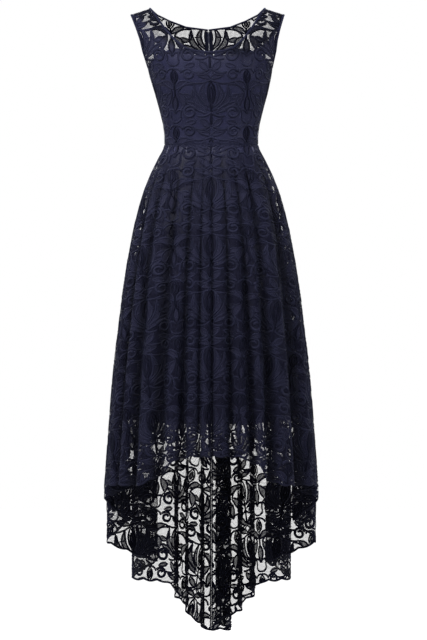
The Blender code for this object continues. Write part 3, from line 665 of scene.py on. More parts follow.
# %% [markdown]
# ## From curves to sewn cord
# A cord in lace is a flat, rounded bundle of thread. Each curve is carried over to the
# dress through its panel, cut off where it leaves the panel, and swept with a small lens
# of four points. Beveled curve objects could do that, but thousands of them would be slow,
# so one mesh for each panel holds them all.
# %% Meshes made from arrays
def new_mesh(name, points, faces):
    """A mesh object from points in millimetres and lists of face corners."""
    mesh = bpy.data.meshes.new(name)
    mesh.from_pydata((np.asarray(points) * MM).tolist(), [], faces)
    mesh.validate()
    mesh.update()
    mesh.shade_smooth()
    item = bpy.data.objects.new(name, mesh)
    bpy.context.scene.collection.objects.link(item)
    return item


class Sweep:
    """Collects cords that follow lines of points, with a lens-shaped or a rounder section."""

    def __init__(self, sides=4):
        turn = 2 * math.pi * np.arange(sides) / sides
        self.section = np.column_stack([np.cos(turn), np.sin(turn)])
        self.points = []
        self.faces = []
        self.count = 0

    def add(self, line, normal, width, height, closed=False):
        if closed:
            along = np.roll(line, -1, axis=0) - np.roll(line, 1, axis=0)
        else:
            along = np.gradient(line, axis=0)
        along /= np.maximum(np.linalg.norm(along, axis=1, keepdims=True), 1e-9)
        side = np.cross(along, normal)
        side /= np.maximum(np.linalg.norm(side, axis=1, keepdims=True), 1e-9)
        up = np.cross(side, along)
        half, rise = width / 2, height / 2
        corners = [line + side * half * c + up * rise * h for c, h in self.section]
        start, rows, sides = self.count, len(line), len(self.section)
        at = start + sides * np.arange(rows if closed else rows - 1)
        after = start + sides * ((np.arange(len(at)) + 1) % rows)
        for k in range(sides):
            n = (k + 1) % sides
            self.faces += np.column_stack([at + k, after + k, after + n, at + n]).tolist()
        if not closed:
            end = start + sides * (rows - 1)
            self.faces.append([start + k for k in range(sides)])
            self.faces.append([end + k for k in range(sides - 1, -1, -1)])
        self.points.append(np.stack(corners, axis=1).reshape(-1, 3))
        self.count += sides * rows

    def build(self, name):
        return new_mesh(name, np.vstack(self.points), self.faces)


def runs_inside(inside, closed):
    """Index runs of the points that lie inside; a closed line that is whole comes back whole."""
    if inside.all():
        return [(np.arange(len(inside)), closed)]
    order = np.arange(len(inside))
    if closed:
        first = int(np.argmin(inside))
        order = np.roll(order, -first)
    runs, run = [], []
    for at in order:
        if inside[at]:
            run.append(at)
        elif run:
            runs.append((np.array(run), False))
            run = []
    if run:
        runs.append((np.array(run), False))
    return [(run, whole) for run, whole in runs if len(run) > 1]


print("helpers: a mesh from arrays, and the sweep of cords")

# %% [markdown]
# ## The pattern over a whole panel
# The repeats lie side by side on the flat cloth, as many as the panel needs. Each cord
# ends where it leaves the panel, as if cut by scissors. An Array modifier would repeat the
# pattern too, but could neither lay it on the folds nor cut it along the edges.
# %% The sewn cords
LACE_WALL = 1.2
CORD_HEIGHT = 1.3
EDGE_KEEP = 1.2  # a cord ends this far inside its panel's edge
SAMPLES_ACROSS = 25
SAMPLES_DOWN = 20
STRAP_TOP = -6.0  # the highest sample of a bodice panel


def repeats_over(panel):
    """Every place on the flat cloth where a panel needs a repeat, with one to spare."""
    if isinstance(panel, BodicePanel):
        a = np.linspace(panel.first, panel.last, SAMPLES_ACROSS)
        drops = np.linspace(STRAP_TOP, WAIST_DROP, SAMPLES_DOWN)
    else:
        a = np.linspace(0.0, 1.0, SAMPLES_ACROSS)
        drops = np.linspace(WAIST_DROP, panel.edge(a).max(), SAMPLES_DOWN)
    cut = panel.to_cut(*np.meshgrid(a, drops)).reshape(-1, 2)
    (left, low), (right, high) = cut.min(axis=0), cut.max(axis=0)
    wide = 2 * REPEAT_HALF
    columns = range(int(left // wide) - 1, int(right // wide) + 3)
    rows = range(int(low // REPEAT_HIGH) - 1, int(high // REPEAT_HIGH) + 2)
    return [(wide * i, REPEAT_HIGH * j) for i in columns for j in rows]


def cords_on(panel, depth):
    """The panel's pattern as swept cords, depth being how far under the form they lie."""
    sweep = Sweep()
    for x, y in repeats_over(panel):
        for mirror in (1.0, -1.0):
            for curve, closed, width in CURVES:
                flat = curve * np.array([mirror, 1.0]) + np.array([x, y])
                a, b = panel.from_cut(flat)
                inside = panel.inside(a, b) > EDGE_KEEP
                if not inside.any():
                    continue
                normal = outward_normals(panel, a, b)
                line = panel.point(a, b) - normal * depth
                for run, whole in runs_inside(inside, closed):
                    sweep.add(line[run], normal[run], width, CORD_HEIGHT, whole)
    return sweep


CORDS = {}
for name, panel in PANELS.items():
    CORDS[name] = cords_on(panel, LACE_WALL / 2).build(name + "_cords")
    print(name, "has", len(CORDS[name].data.polygons), "cord faces")

# %% [markdown]
# ## The net between the cords
# Under the cords lies one sheet of net with the filled leaves in it. Its threads are half a
# millimetre thick, so they are drawn by a material that lets light through the meshes. How
# deep a point lies inside a leaf is worked out here for each vertex, in millimetres, and
# kept as an attribute, because a smooth number gives a clean edge even on a coarse mesh.
# %% How deep a point lies in a leaf
DEPTH_LIMIT = 8.0
FILLED = [curve[0] for curve, leaf in zip(CURVES, LEAVES) if leaf[-1]]


def depth_in_polygon(points, polygon):
    """Distance to a closed outline, positive inside it."""
    nearest = np.full(len(points), 1e9)
    inside = np.zeros(len(points), bool)
    for start, end in zip(polygon, np.roll(polygon, -1, axis=0)):
        edge = end - start
        share = np.clip(((points - start) @ edge) / (edge @ edge), 0, 1)
        away = np.linalg.norm(points - start - share[:, None] * edge, axis=1)
        nearest = np.minimum(nearest, away)
        crosses = (start[1] > points[:, 1]) != (end[1] > points[:, 1])
        rise = edge[1] if edge[1] else 1e-9
        reached = start[0] + (points[:, 1] - start[1]) * edge[0] / rise
        inside ^= crosses & (points[:, 0] < reached)
    return np.where(inside, nearest, -nearest)


def leaf_depth(cut):
    """How deep points of the flat cloth lie inside the nearest filled leaf."""
    flat = cut.reshape(-1, 2)
    x = np.abs((flat[:, 0] + REPEAT_HALF) % (2 * REPEAT_HALF) - REPEAT_HALF)
    y = flat[:, 1] % REPEAT_HIGH
    depth = np.full(len(flat), -DEPTH_LIMIT)
    for polygon in FILLED:
        for shift in (-REPEAT_HIGH, 0.0, REPEAT_HIGH):
            shape = polygon + np.array([0.0, shift])
            low, high = shape.min(axis=0) - DEPTH_LIMIT, shape.max(axis=0) + DEPTH_LIMIT
            near = (x > low[0]) & (x < high[0]) & (y > low[1]) & (y < high[1])
            if near.any():
                found = depth_in_polygon(np.column_stack([x[near], y[near]]), shape)
                depth[near] = np.maximum(depth[near], found)
    return depth.reshape(cut.shape[:-1])


print("filled leaves in half a repeat:", len(FILLED))

# %% [markdown]
# ## Grids over the panels
# Net and satin are sheets, so each starts as a grid of rows and columns over its panel. The
# bodice's grid has a row exactly on the lining's top edge, so that the satin can end there.
# A Subdivision Surface would round the panel's corners, so the grid is fine from the start.
# %% Rows and columns
NET_ACROSS = 5.0
NET_DOWN = 6.0
NET_SHORT = 0.5  # the net ends this far above the hem's line, under its cord
HALF_COLUMNS = 45
LINED_ROWS = 46  # rows of the bodice from the waist to the lining's top edge
SHEER_ROWS = 29


def skirt_rows(panel):
    across = np.linspace(0, 1, int(panel.lengths.max() / NET_ACROSS) + 1)
    edge = panel.edge(across) - NET_SHORT
    rows = int((edge.max() - panel.top) / NET_DOWN) + 1
    share = np.linspace(0, 1, rows)[:, None]
    return np.broadcast_to(across, (rows, len(across))), panel.top + (edge - panel.top) * share


def bodice_rows(panel):
    half = evened_half(HALF_COLUMNS)
    if panel.first < 0 < panel.last:
        across = np.concatenate([-half[:0:-1], half])
    else:
        across = half * np.sign(panel.last + panel.first)
    across = np.sort(np.clip(across, panel.first, panel.last))
    edge = panel.edge(across)
    low = np.interp(np.abs(across), panel.lining_top[:, 0], panel.lining_top[:, 1])
    share = np.linspace(0, 1, LINED_ROWS)[:, None]
    skirtward = panel.bottom + (low - panel.bottom) * share
    span = UNDERARM_DROP - shoulder_drop(np.abs(across))
    start = np.arcsin(np.clip((UNDERARM_DROP - low) / span, 0, 1))
    end = np.arcsin(np.clip((UNDERARM_DROP - edge) / span, 0, 1))
    share = np.linspace(0, 1, SHEER_ROWS)[1:, None]
    neckward = UNDERARM_DROP - span * np.sin(start + (end - start) * share)
    drops = np.vstack([skirtward, neckward])
    return np.broadcast_to(across, drops.shape), drops


def panel_rows(panel):
    """A grid over a whole panel: a and b at every node, row by row from its first edge."""
    return (skirt_rows if isinstance(panel, SkirtPanel) else bodice_rows)(panel)


def grid_faces(rows, columns):
    at = np.arange(rows * columns).reshape(rows, columns)
    corners = [at[:-1, :-1], at[1:, :-1], at[1:, 1:], at[:-1, 1:]]
    return np.stack([corner.ravel() for corner in corners], axis=1)


def facing(points, faces, normal):
    """The faces turned so that they look the way that the normals point."""
    first = points[faces[:, 1]] - points[faces[:, 0]]
    second = points[faces[:, 2]] - points[faces[:, 0]]
    looks = (np.cross(first, second) * normal[faces[:, 0]]).sum(axis=1)
    return faces if looks.sum() > 0 else faces[:, ::-1]


for name, panel in PANELS.items():
    print(name, "has a grid of", " x ".join(str(n) for n in panel_rows(panel)[0].shape))

# %% [markdown]
# ## What a vertex remembers
# Three things are kept with the meshes, because the materials need them: the place on the
# flat cloth as a UV map, how deep in a leaf a point lies, and how deep in the folds. A plain
# studio light makes weak shadows in dark cloth, so the last one paints shade into the valleys.
# %% The net sheets
# Depths at which the painted shade of the folds is darkest, at the waist and low down.
PAINTED_SHADE_DEPTHS = (6.0, 20.0)  # how deep the darkest place lies, at the waist and low down


def keep_fold_depth(item):
    """Keeps how deep inside the form each vertex lies, 1 where the painted shade is darkest, as an
    attribute.
    """
    places = np.empty(3 * len(item.data.vertices), np.float32)
    item.data.vertices.foreach_get("co", places)
    x, y, z = places.reshape(-1, 3).T / MM
    deep = np.where(y < 0, body_value(-z, "front"), body_value(-z, "back"))
    wide = body_value(-z, "half_width")
    level = (np.abs(x / wide) ** ROUNDNESS + np.abs(y / deep) ** ROUNDNESS) ** (1 / ROUNDNESS)
    darkest = np.interp(fold_growth(-z), (0, 1), PAINTED_SHADE_DEPTHS)
    inside = (1 / level - 1) * np.hypot(x, y)
    layer = item.data.attributes.new("fold_depth", "FLOAT", "POINT")
    layer.data.foreach_set("value", (inside / darkest).astype(np.float32))


def set_uv(item, flat):
    """Keeps each vertex's place on the flat cloth, in metres, as the UV map."""
    layer = item.data.uv_layers.new(name="cloth")
    corners = np.empty(len(item.data.loops), np.int32)
    item.data.loops.foreach_get("vertex_index", corners)
    layer.data.foreach_set("uv", (flat[corners] * MM).astype(np.float32).ravel())


def net_sheet(panel):
    a, b = panel_rows(panel)
    normal = outward_normals(panel, a, b)
    points = (panel.point(a, b) - normal * LACE_WALL / 2).reshape(-1, 3)
    cut = panel.to_cut(a, b)
    faces = facing(points, grid_faces(*a.shape), normal.reshape(-1, 3))
    item = new_mesh(panel.name + "_net", points, faces.tolist())
    set_uv(item, cut.reshape(-1, 2))
    layer = item.data.attributes.new("leaf_depth", "FLOAT", "POINT")
    layer.data.foreach_set("value", leaf_depth(cut).ravel())
    return item


NETS = {name: net_sheet(panel) for name, panel in PANELS.items()}
for name, item in NETS.items():
    print(name, "net has", len(item.data.polygons), "faces")

# %% [markdown]
# ## The satin lining
# The lining is smooth satin. In the bodice it lies just under the lace and ends in a curved
# edge below the sheer yoke. In the skirt it is a plain flared layer that keeps clear of the
# folds' valleys and ends above the lace's hem. The skirt's lining is worked out on the same
# few lines as its solid, and then refined with a smooth curve through them. A Solidify
# modifier could thicken the sheets, but its rim would not end square at the seams.
# %% Shells of cloth
SATIN_WALL = 0.8
SATIN_DEPTH = 1.6


def shell(name, points, normal, wall):
    """A closed sheet of cloth from a grid of outer points, its wall growing inwards."""
    rows, columns = points.shape[:2]
    count = rows * columns
    outer = facing(points.reshape(-1, 3), grid_faces(rows, columns), normal.reshape(-1, 3))
    inner = outer[:, ::-1] + count
    at = np.arange(count).reshape(rows, columns)
    rim = np.concatenate([at[0, :-1], at[:-1, -1], at[-1, :0:-1], at[:0:-1, 0]])
    after = np.roll(rim, -1)
    sides = np.stack([rim, after, after + count, rim + count], axis=1)
    edge = {tuple(pair) for face in outer for pair in zip(face, np.roll(face, -1))}
    if (rim[0], after[0]) in edge:
        sides = sides[:, ::-1]
    both = np.vstack([points.reshape(-1, 3), (points - normal * wall).reshape(-1, 3)])
    return new_mesh(name, both, np.vstack([outer, inner, sides]).tolist())


def grid_normals(grid):
    normal = np.cross(np.gradient(grid, axis=1), np.gradient(grid, axis=0))
    normal /= np.maximum(np.linalg.norm(normal, axis=2, keepdims=True), 1e-9)
    away = grid * np.array([1.0, 1.0, 0.0])
    return normal * np.sign((normal * away).sum())


def smooth_between(line, times):
    """More points along the first axis, on a smooth curve through the given ones."""
    padded = np.concatenate([2 * line[:1] - line[1:2], line, 2 * line[-1:] - line[-2:-1]])
    t = (np.arange(times) / times).reshape((-1,) + (1,) * line.ndim)
    p0, p1, p2, p3 = padded[:-3], padded[1:-2], padded[2:-1], padded[3:]
    bend = 2 * p1 + (p2 - p0) * t + (2 * p0 - 5 * p1 + 4 * p2 - p3) * t**2
    bend = (bend + (3 * p1 - p0 - 3 * p2 + p3) * t**3) / 2
    between = np.swapaxes(bend, 0, 1).reshape((-1,) + line.shape[1:])
    return np.concatenate([between, line[-1:]])


print("satin:", SATIN_WALL, "mm thick and", SATIN_DEPTH, "mm under the lace's face")


# %% The bodice's lining
def bodice_lining(panel, name):
    a, b = (rows[:LINED_ROWS] for rows in panel_rows(panel))
    normal = outward_normals(panel, a, b)
    return shell(name, panel.point(a, b) - normal * SATIN_DEPTH, normal, SATIN_WALL)


LININGS = {}
for name, panel in BODICE_PANELS.items():
    node = name.replace("lace", "lining")
    LININGS[node] = bodice_lining(panel, node + "_satin")
print("linings of the bodice:", ", ".join(LININGS))

# %% [markdown]
# ## The skirt's lining
# A lining falls from the waist as a plain flared tube. It may not touch the lace, so at each
# height it stays further in than the deepest fold near it. Then a smooth curve is laid
# through its few rows and columns. A Shrinkwrap modifier would press it into the folds.
# %% The skirt's lining
HIP_DROPS = (345.0, 390.0, 440.0, 510.0)
LINING_STEPS = 11
LINING_ROWS = 4
LINING_HEM_FRONT = 950.0
LINING_HEM_BACK = 905.0
LINING_UNDER = 1.0  # space between lace and lining where they lie closest
LINING_CLEARANCE = 7.0
LINING_REACH = 8.0  # degrees on each side in which a fold pushes the lining in
LINING_FREE_GROWTH = 6.0
LINING_FINER = 5


def lining_lines():
    """The lining's outer points on its solid's own rows and columns."""
    quarter = np.linspace(0, 90, LINING_STEPS + 1)
    around = np.concatenate([quarter - 180, quarter[1:] - 90, quarter[1:], quarter[1:] + 90])
    share = (1 - np.cos(np.radians(around))) / 2
    hems = LINING_HEM_FRONT + (LINING_HEM_BACK - LINING_HEM_FRONT) * share
    top = WAIST_DROP + SEAM_HALF
    rows = [np.full_like(hems, drop) for drop in (top,) + HIP_DROPS]
    last = HIP_DROPS[-1]
    rows += [last + (hems - last) * row / LINING_ROWS for row in range(1, LINING_ROWS + 1)]
    lines = []
    for drops in rows:
        insets = []
        for angle, drop in zip(around, drops):
            folded, inset = folds_at(PLACES, drop)
            apart = np.abs((folded - angle + 180) % 360 - 180)
            clear = LINING_CLEARANCE * min(1.0, LINING_FREE_GROWTH * fold_growth(drop))
            deepest = inset[apart < LINING_REACH].max()
            insets.append(LACE_WALL + LINING_UNDER + deepest + clear)
        lines.append(inset_point(around, np.array(insets), drops))
    return np.array(lines)


coarse = lining_lines()
finer = smooth_between(coarse, LINING_FINER)
finer = np.swapaxes(smooth_between(np.swapaxes(finer, 0, 1), LINING_FINER), 0, 1)
normal = grid_normals(finer)
QUARTER = LINING_STEPS * LINING_FINER
for node, first, last in (
    ("skirt_back_lining_right", 0, QUARTER),
    ("skirt_front_lining", QUARTER, 3 * QUARTER),
    ("skirt_back_lining_left", 3 * QUARTER, 4 * QUARTER),
):
    span = slice(first, last + 1)
    LININGS[node] = shell(node + "_satin", finer[:, span], normal[:, span], SATIN_WALL)
for item in LININGS.values():
    print(item.name, "has", len(item.data.polygons), "faces")

# %% [markdown]
# ## Binding round the neck and the armholes
# A strip of the lining's satin is folded over each raw edge and stitched down. It reads as
# a narrow rounded rim, so it is swept along the edge with an eight-sided section. A curve
# with a bevel would twist where the armhole turns, and this sweep keeps to the cloth.
# %% The bindings
BINDING_WIDTH = 5.0
BINDING_THICK = 3.2
BINDING_IN = 2.2  # from the cloth's edge to the binding's middle
NECK_POINTS = 90
ARMHOLE_POINTS = 60
ARMHOLE_EDGE = 0.999  # share of the half width
ARMHOLE_INSIDE = 0.97  # a place further in, which shows the way inwards
SHOULDER_SEAM_HALF = 0.4


def edge_line(panel, a, b):
    """A run of points on a panel and their normals."""
    a, b = np.broadcast_arrays(np.asarray(a, float), np.asarray(b, float))
    return panel.point(a, b), outward_normals(panel, a, b)


def neck_line(panel):
    first, last = max(panel.first, -STRAP_INNER), min(panel.last, STRAP_INNER)
    a = np.linspace(first, last, NECK_POINTS)
    line, normal = edge_line(panel, a, panel.edge(a))
    along = np.gradient(line, axis=0)
    along /= np.linalg.norm(along, axis=1, keepdims=True)
    inward = np.cross(along, normal)
    inward *= np.sign(-inward[:, 2].sum())
    return line + inward * BINDING_IN - normal * LACE_WALL / 2, normal


def armhole_line(panel, side):
    top = SHOULDER_OUTER_DROP + SHOULDER_SEAM_HALF
    drops = np.linspace(UNDERARM_DROP, top, ARMHOLE_POINTS)
    line, normal = edge_line(panel, side * ARMHOLE_EDGE, drops)
    inside, _ = edge_line(panel, side * ARMHOLE_INSIDE, drops)
    inward = inside - line
    inward /= np.linalg.norm(inward, axis=1, keepdims=True)
    return line + inward * BINDING_IN - normal * LACE_WALL / 2, normal


BINDINGS = {}
for name, panel in BODICE_PANELS.items():
    node = "neck_" + name.replace("bodice", "binding").replace("_lace", "")
    edges = [(node, *neck_line(panel))]
    for side, word in ((-1.0, "right"), (1.0, "left")):
        if panel.first < side * 0.5 < panel.last:
            face = "front_" if panel.front else "back_"
            edges.append(("armhole_binding_" + face + word, *armhole_line(panel, side)))
    for node, line, normal in edges:
        sweep = Sweep(sides=8)
        sweep.add(line, normal, BINDING_WIDTH, BINDING_THICK)
        BINDINGS[node] = sweep.build(node + "_rolled")
print("bindings:", ", ".join(BINDINGS))

# %% [markdown]
# ## Seams and the hem's border
# Where two panels meet, the lace is sewn with a narrow folded seam, and a cord is laid over
# the cut ends. The hem ends in a cord too, in shallow scallops that suit the repeat. Both
# are swept along the panels' edges, so they follow every fold.
# %% Edge cords
EDGE_CORD_WIDTH = 3.2
EDGE_CORD_INSET = 1.9
HEM_CORD_WIDTH = 5.0
HEM_CORD_INSET = 2.4
HEM_STEP = 4.5
SEAM_STEP = 9.0
SEAM_SPARE = 2.0  # a seam's cord stops this far from the waist and from the hem
BODICE_EDGE_STEPS = 45  # for each half width
UNDERARM_SPARE = 3.0
WAIST_SPARE = 1.0
SIDE_SEAM_SHARE = 0.9995


def skirt_edges(panel):
    length = panel.lengths.max()
    across = np.linspace(0, 1, int(length / HEM_STEP))
    yield across, panel.edge(across) - HEM_CORD_INSET, HEM_CORD_WIDTH
    across = np.linspace(0, 1, int(panel.lengths[0] / HEM_STEP))
    yield across, np.full(len(across), panel.top + EDGE_CORD_INSET), EDGE_CORD_WIDTH
    for side in (0, 1):
        hem = float(panel.edge(np.array([float(side)]))[0])
        drops = np.arange(panel.top + SEAM_SPARE, hem - SEAM_SPARE, SEAM_STEP)
        inset = EDGE_CORD_INSET / np.interp(drops, LEVELS, panel.lengths)
        yield np.abs(side - inset), drops, EDGE_CORD_WIDTH


def bodice_edges(panel):
    steps = int((panel.last - panel.first) * BODICE_EDGE_STEPS)
    across = np.linspace(panel.first, panel.last, steps)
    yield across, np.full(len(across), panel.bottom - EDGE_CORD_INSET), EDGE_CORD_WIDTH
    for side in (panel.first, panel.last):
        if abs(side) > 0.5:
            drops = np.arange(UNDERARM_DROP + UNDERARM_SPARE, panel.bottom - WAIST_SPARE, SEAM_STEP)
            yield np.full(len(drops), side * SIDE_SEAM_SHARE), drops, EDGE_CORD_WIDTH


EDGES = {}
for name, panel in PANELS.items():
    sweep = Sweep()
    for a, b, width in (skirt_edges if name in SKIRT_PANELS else bodice_edges)(panel):
        line, normal = edge_line(panel, a, b)
        sweep.add(line - normal * LACE_WALL / 2, normal, width, CORD_HEIGHT)
    EDGES[name] = sweep.build(name + "_edges")
print("edge cords:", ", ".join(item.name for item in EDGES.values()))

# %% [markdown]
# ## The zip
# A concealed zip hides behind the centre-back seam: two woven tapes, a nylon coil whose
# turns are the teeth, a small slider and a drop-shaped tab. The tapes keep their solids.
# The coil is one row of bent turns, made by sweeping one line for each tooth. A Screw
# modifier makes a coil as well, but a straight one, and this one follows the back's curve.
# %% The coil
COIL_PITCH = 1.5
COIL_WIDTH = 3.5
COIL_THREAD = 0.95
COIL_DEPTH = 3.7  # from the lace's outer face to the coil's middle
COIL_RISE = 0.35
COIL_POINTS = 6
ZIP_TOP_DROP = 47.0
ZIP_END_DROP = 440.0
ZIP_STOP = 2.0  # the last turns end this far above the end of the tapes


def back_middle(drop):
    """The lace's outer point at centre back and the way that it faces."""
    left = PANELS["bodice_back_lace_left"]
    drops = np.array([drop - 1.0, drop, drop + 1.0])
    if drop < WAIST_DROP:
        line = left.point(np.full(3, BACK_GAP), drops)
    else:
        line = skirt_point(np.full(3, float(BACK_START)), drops)
    line[:, 0] = lean(drops)
    outward = np.cross(line[0] - line[2], [1.0, 0.0, 0.0])
    return line[1], outward / np.linalg.norm(outward)


coil = Sweep(sides=6)
across = np.linspace(-0.5, 0.5, COIL_POINTS)
rise = COIL_RISE * np.cos(2 * math.pi * across)
for drop in np.arange(ZIP_TOP_DROP, ZIP_END_DROP - ZIP_STOP, COIL_PITCH):
    place, outward = back_middle(drop)
    line = place - outward * COIL_DEPTH + np.outer(across * COIL_WIDTH, [1.0, 0.0, 0.0])
    line = line + np.outer(rise, outward)
    coil.add(line, np.tile(outward, (COIL_POINTS, 1)), COIL_THREAD, COIL_THREAD)
COIL = coil.build("zip_coil_turns")
print("teeth:", len(coil.points))

# %% [markdown]
# ## The slider and its tab
# The slider is a small cast body with two ears and a pin, and the tab hangs on the pin by
# an eye. Both are hard pieces, so they are modelled as by hand: a cube or a cylinder is
# shaped in edit mode, given bevels, and laid in place on the back's slope. They are small,
# but the light catches their edges, and a bevel is what makes an edge catch it.
# %% Helpers for the hard pieces
SLIDER_DROP = 54.0
SLIDER_LIFT = 0.5
SLIDER_LENGTH = 8.0
SLIDER_WIDTH = 6.6
SLIDER_THICK = 1.8
EAR_GAP = 3.6
EAR_WIDTH = 1.0
EAR_LENGTH = 2.4
EAR_HEIGHT = 2.7
PIN_HEIGHT = 1.75
PIN_DIAMETER = 1.0
FLAT_ENOUGH = 0.9  # how far a face's normal lies along an axis for it to be taken

slider_place, slider_outward = back_middle(SLIDER_DROP)
slider_down = np.cross(slider_outward, [1.0, 0.0, 0.0])
SLIDER_TURN = Matrix(np.column_stack([[1.0, 0.0, 0.0], slider_down, slider_outward]).tolist())


def start_shape(name, add, **sizes):
    """A primitive by itself, ready to be shaped in edit mode."""
    bpy.ops.object.select_all(action="DESELECT")
    add(**sizes)
    item = bpy.context.active_object
    item.name = name
    return item


def bevel_and_place(item, width, height):
    """Rounds the edges, applies everything, and lays the piece on the back's slope."""
    bevel = item.modifiers.new("rounded", "BEVEL")
    bevel.width = width * MM
    bevel.segments = 2
    bevel.limit_method = "ANGLE"
    bpy.ops.object.modifier_apply(modifier=bevel.name)
    bpy.ops.object.transform_apply(location=True, rotation=True, scale=True)
    move = Matrix.Translation(Vector((slider_place + slider_outward * height) * MM))
    item.data.transform(move @ SLIDER_TURN.to_4x4())
    bpy.ops.object.shade_smooth_by_angle(angle=math.radians(40))
    return item


def cube_between(name, low, high):
    low, high = np.array(low, float), np.array(high, float)
    add = bpy.ops.mesh.primitive_cube_add
    size, middle = (high - low) * MM, (low + high) / 2 * MM
    item = start_shape(name, add, size=1.0, location=tuple(middle))
    item.scale = tuple(size)
    bpy.ops.object.transform_apply(location=False, rotation=False, scale=True)
    return item


def select_faces(item, wanted):
    """Selects, in edit mode, the faces whose normal passes a test."""
    bpy.ops.object.mode_set(mode="OBJECT")
    for face in item.data.polygons:
        face.select = bool(wanted(face.normal))
    bpy.ops.object.mode_set(mode="EDIT")
    bpy.ops.mesh.select_mode(type="FACE")


def join_all(items, name):
    bpy.ops.object.select_all(action="DESELECT")
    for item in items:
        item.select_set(True)
    bpy.context.view_layer.objects.active = items[0]
    bpy.ops.object.join()
    items[0].name = name
    return items[0]


print("the back slopes", round(math.degrees(math.asin(slider_outward[2])), 1), "degrees here")

# %% The slider
SLIDER_NARROW = 0.62  # the lower end's width beside the whole
DISH_RIM = 0.7
DISH_DEEP = 0.25
EAR_SUNK = 0.4
EAR_TAPER = 0.7
PIN_OVER = 0.5
PLATE_ROUND, EAR_ROUND, PIN_ROUND = 0.35, 0.25, 0.12

seat = SLIDER_LIFT + SLIDER_THICK
half_width, half_length = SLIDER_WIDTH / 2, SLIDER_LENGTH / 2
low, high = (-half_width, -half_length, SLIDER_LIFT), (half_width, half_length, seat)
plate = cube_between("plate", low, high)
bpy.ops.object.mode_set(mode="EDIT")
bpy.ops.mesh.select_all(action="SELECT")
bpy.ops.mesh.bisect(plane_co=plate.location, plane_no=(0, 1, 0))
select_faces(plate, lambda normal: normal.y > FLAT_ENOUGH)
bpy.ops.transform.resize(value=(SLIDER_NARROW, 1.0, 1.0))
select_faces(plate, lambda normal: normal.z > FLAT_ENOUGH)
bpy.ops.mesh.inset(thickness=DISH_RIM * MM)
bpy.ops.transform.translate(value=(0, 0, -DISH_DEEP * MM))
bpy.ops.object.mode_set(mode="OBJECT")
bevel_and_place(plate, PLATE_ROUND, 0.0)
parts = [plate]
for side in (-1, 1):
    near, far = side * EAR_GAP / 2, side * (EAR_GAP / 2 + EAR_WIDTH)
    low = (min(near, far), -EAR_LENGTH / 2, seat - EAR_SUNK)
    high = (max(near, far), EAR_LENGTH / 2, seat + EAR_HEIGHT)
    ear = cube_between("ear", low, high)
    bpy.ops.object.mode_set(mode="EDIT")
    select_faces(ear, lambda normal: normal.z > FLAT_ENOUGH)
    bpy.ops.transform.resize(value=(1.0, EAR_TAPER, 1.0))
    bpy.ops.object.mode_set(mode="OBJECT")
    parts.append(bevel_and_place(ear, EAR_ROUND, 0.0))
pin = start_shape(
    "pin",
    bpy.ops.mesh.primitive_cylinder_add,
    vertices=20,
    radius=PIN_DIAMETER / 2 * MM,
    depth=(EAR_GAP + 2 * EAR_WIDTH + PIN_OVER) * MM,
    location=(0, 0, (seat + PIN_HEIGHT) * MM),
    rotation=(0, math.pi / 2, 0),
)
parts.append(bevel_and_place(pin, PIN_ROUND, 0.0))
SLIDER = join_all(parts, "zip_slider_cast")
print("slider faces:", len(SLIDER.data.polygons))

# %% [markdown]
# ## The pull tab
# The tab is a flat blade that widens to a round end, with an eye that turns on the pin. The
# eye is a cylinder whose two caps are inset and bridged, which makes the hole. The blade is
# a filled circle, drawn out to a neck, raised to its thickness and dished on both faces. A
# Boolean could cut the hole too, but would leave faces that bevel badly.
# %% The eye
PIN_PLACE = seat + PIN_HEIGHT
EYE_OUTSIDE = 2.7
EYE_INSIDE = 1.7
EYE_WIDTH = 3.0
EYE_ROUND = 0.15

eye = start_shape(
    "eye",
    bpy.ops.mesh.primitive_cylinder_add,
    vertices=24,
    radius=EYE_OUTSIDE / 2 * MM,
    depth=EYE_WIDTH * MM,
    rotation=(0, math.pi / 2, 0),
)
bpy.ops.object.transform_apply(location=False, rotation=True, scale=False)
bpy.ops.object.mode_set(mode="EDIT")
select_faces(eye, lambda normal: abs(normal.x) > FLAT_ENOUGH)
bpy.ops.mesh.inset(thickness=(EYE_OUTSIDE - EYE_INSIDE) / 2 * MM)
bpy.ops.mesh.bridge_edge_loops()
bpy.ops.object.mode_set(mode="OBJECT")
bevel_and_place(eye, EYE_ROUND, PIN_PLACE)
print("eye faces:", len(eye.data.polygons))

# %% The blade
TAB_LENGTH = 22.0
TAB_WIDTH = 5.6
TAB_NECK = 2.6
TAB_THICK = 1.1
TAB_FLARE = 1.3  # how slowly the neck widens
TAB_RIM = 0.55
TAB_DISH = 0.6  # the thickness that is left inside the rim, as a share
TAB_ROUND = 0.18
BEND_START = 0.1  # vertices below this line are drawn out to the neck
NECK_IN_EYE = 0.35

round_end = TAB_LENGTH - TAB_WIDTH / 2
blade = start_shape(
    "blade",
    bpy.ops.mesh.primitive_circle_add,
    vertices=28,
    radius=TAB_WIDTH / 2 * MM,
    fill_type="NGON",
    location=(0, round_end * MM, -TAB_THICK / 2 * MM),
)
neck_reach = round_end - EYE_OUTSIDE / 2 - NECK_IN_EYE
for vertex in blade.data.vertices:
    if vertex.co.y < -BEND_START * MM:
        fall = -vertex.co.y / (TAB_WIDTH / 2 * MM)
        wide = TAB_NECK + (TAB_WIDTH - TAB_NECK) * (1 - fall) ** TAB_FLARE
        vertex.co.x = math.copysign(wide / 2 * MM, vertex.co.x)
        vertex.co.y = -neck_reach * fall * MM
bpy.ops.object.mode_set(mode="EDIT")
bpy.ops.mesh.select_all(action="SELECT")
bpy.ops.mesh.extrude_region_move(TRANSFORM_OT_translate={"value": (0, 0, TAB_THICK * MM)})
bpy.ops.mesh.select_all(action="SELECT")
bpy.ops.mesh.normals_make_consistent(inside=False)
select_faces(blade, lambda normal: abs(normal.z) > FLAT_ENOUGH)
bpy.ops.mesh.inset(thickness=TAB_RIM * MM, use_individual=True)
bpy.ops.transform.resize(value=(1, 1, TAB_DISH))
bpy.ops.object.mode_set(mode="OBJECT")
bevel_and_place(blade, TAB_ROUND, PIN_PLACE)
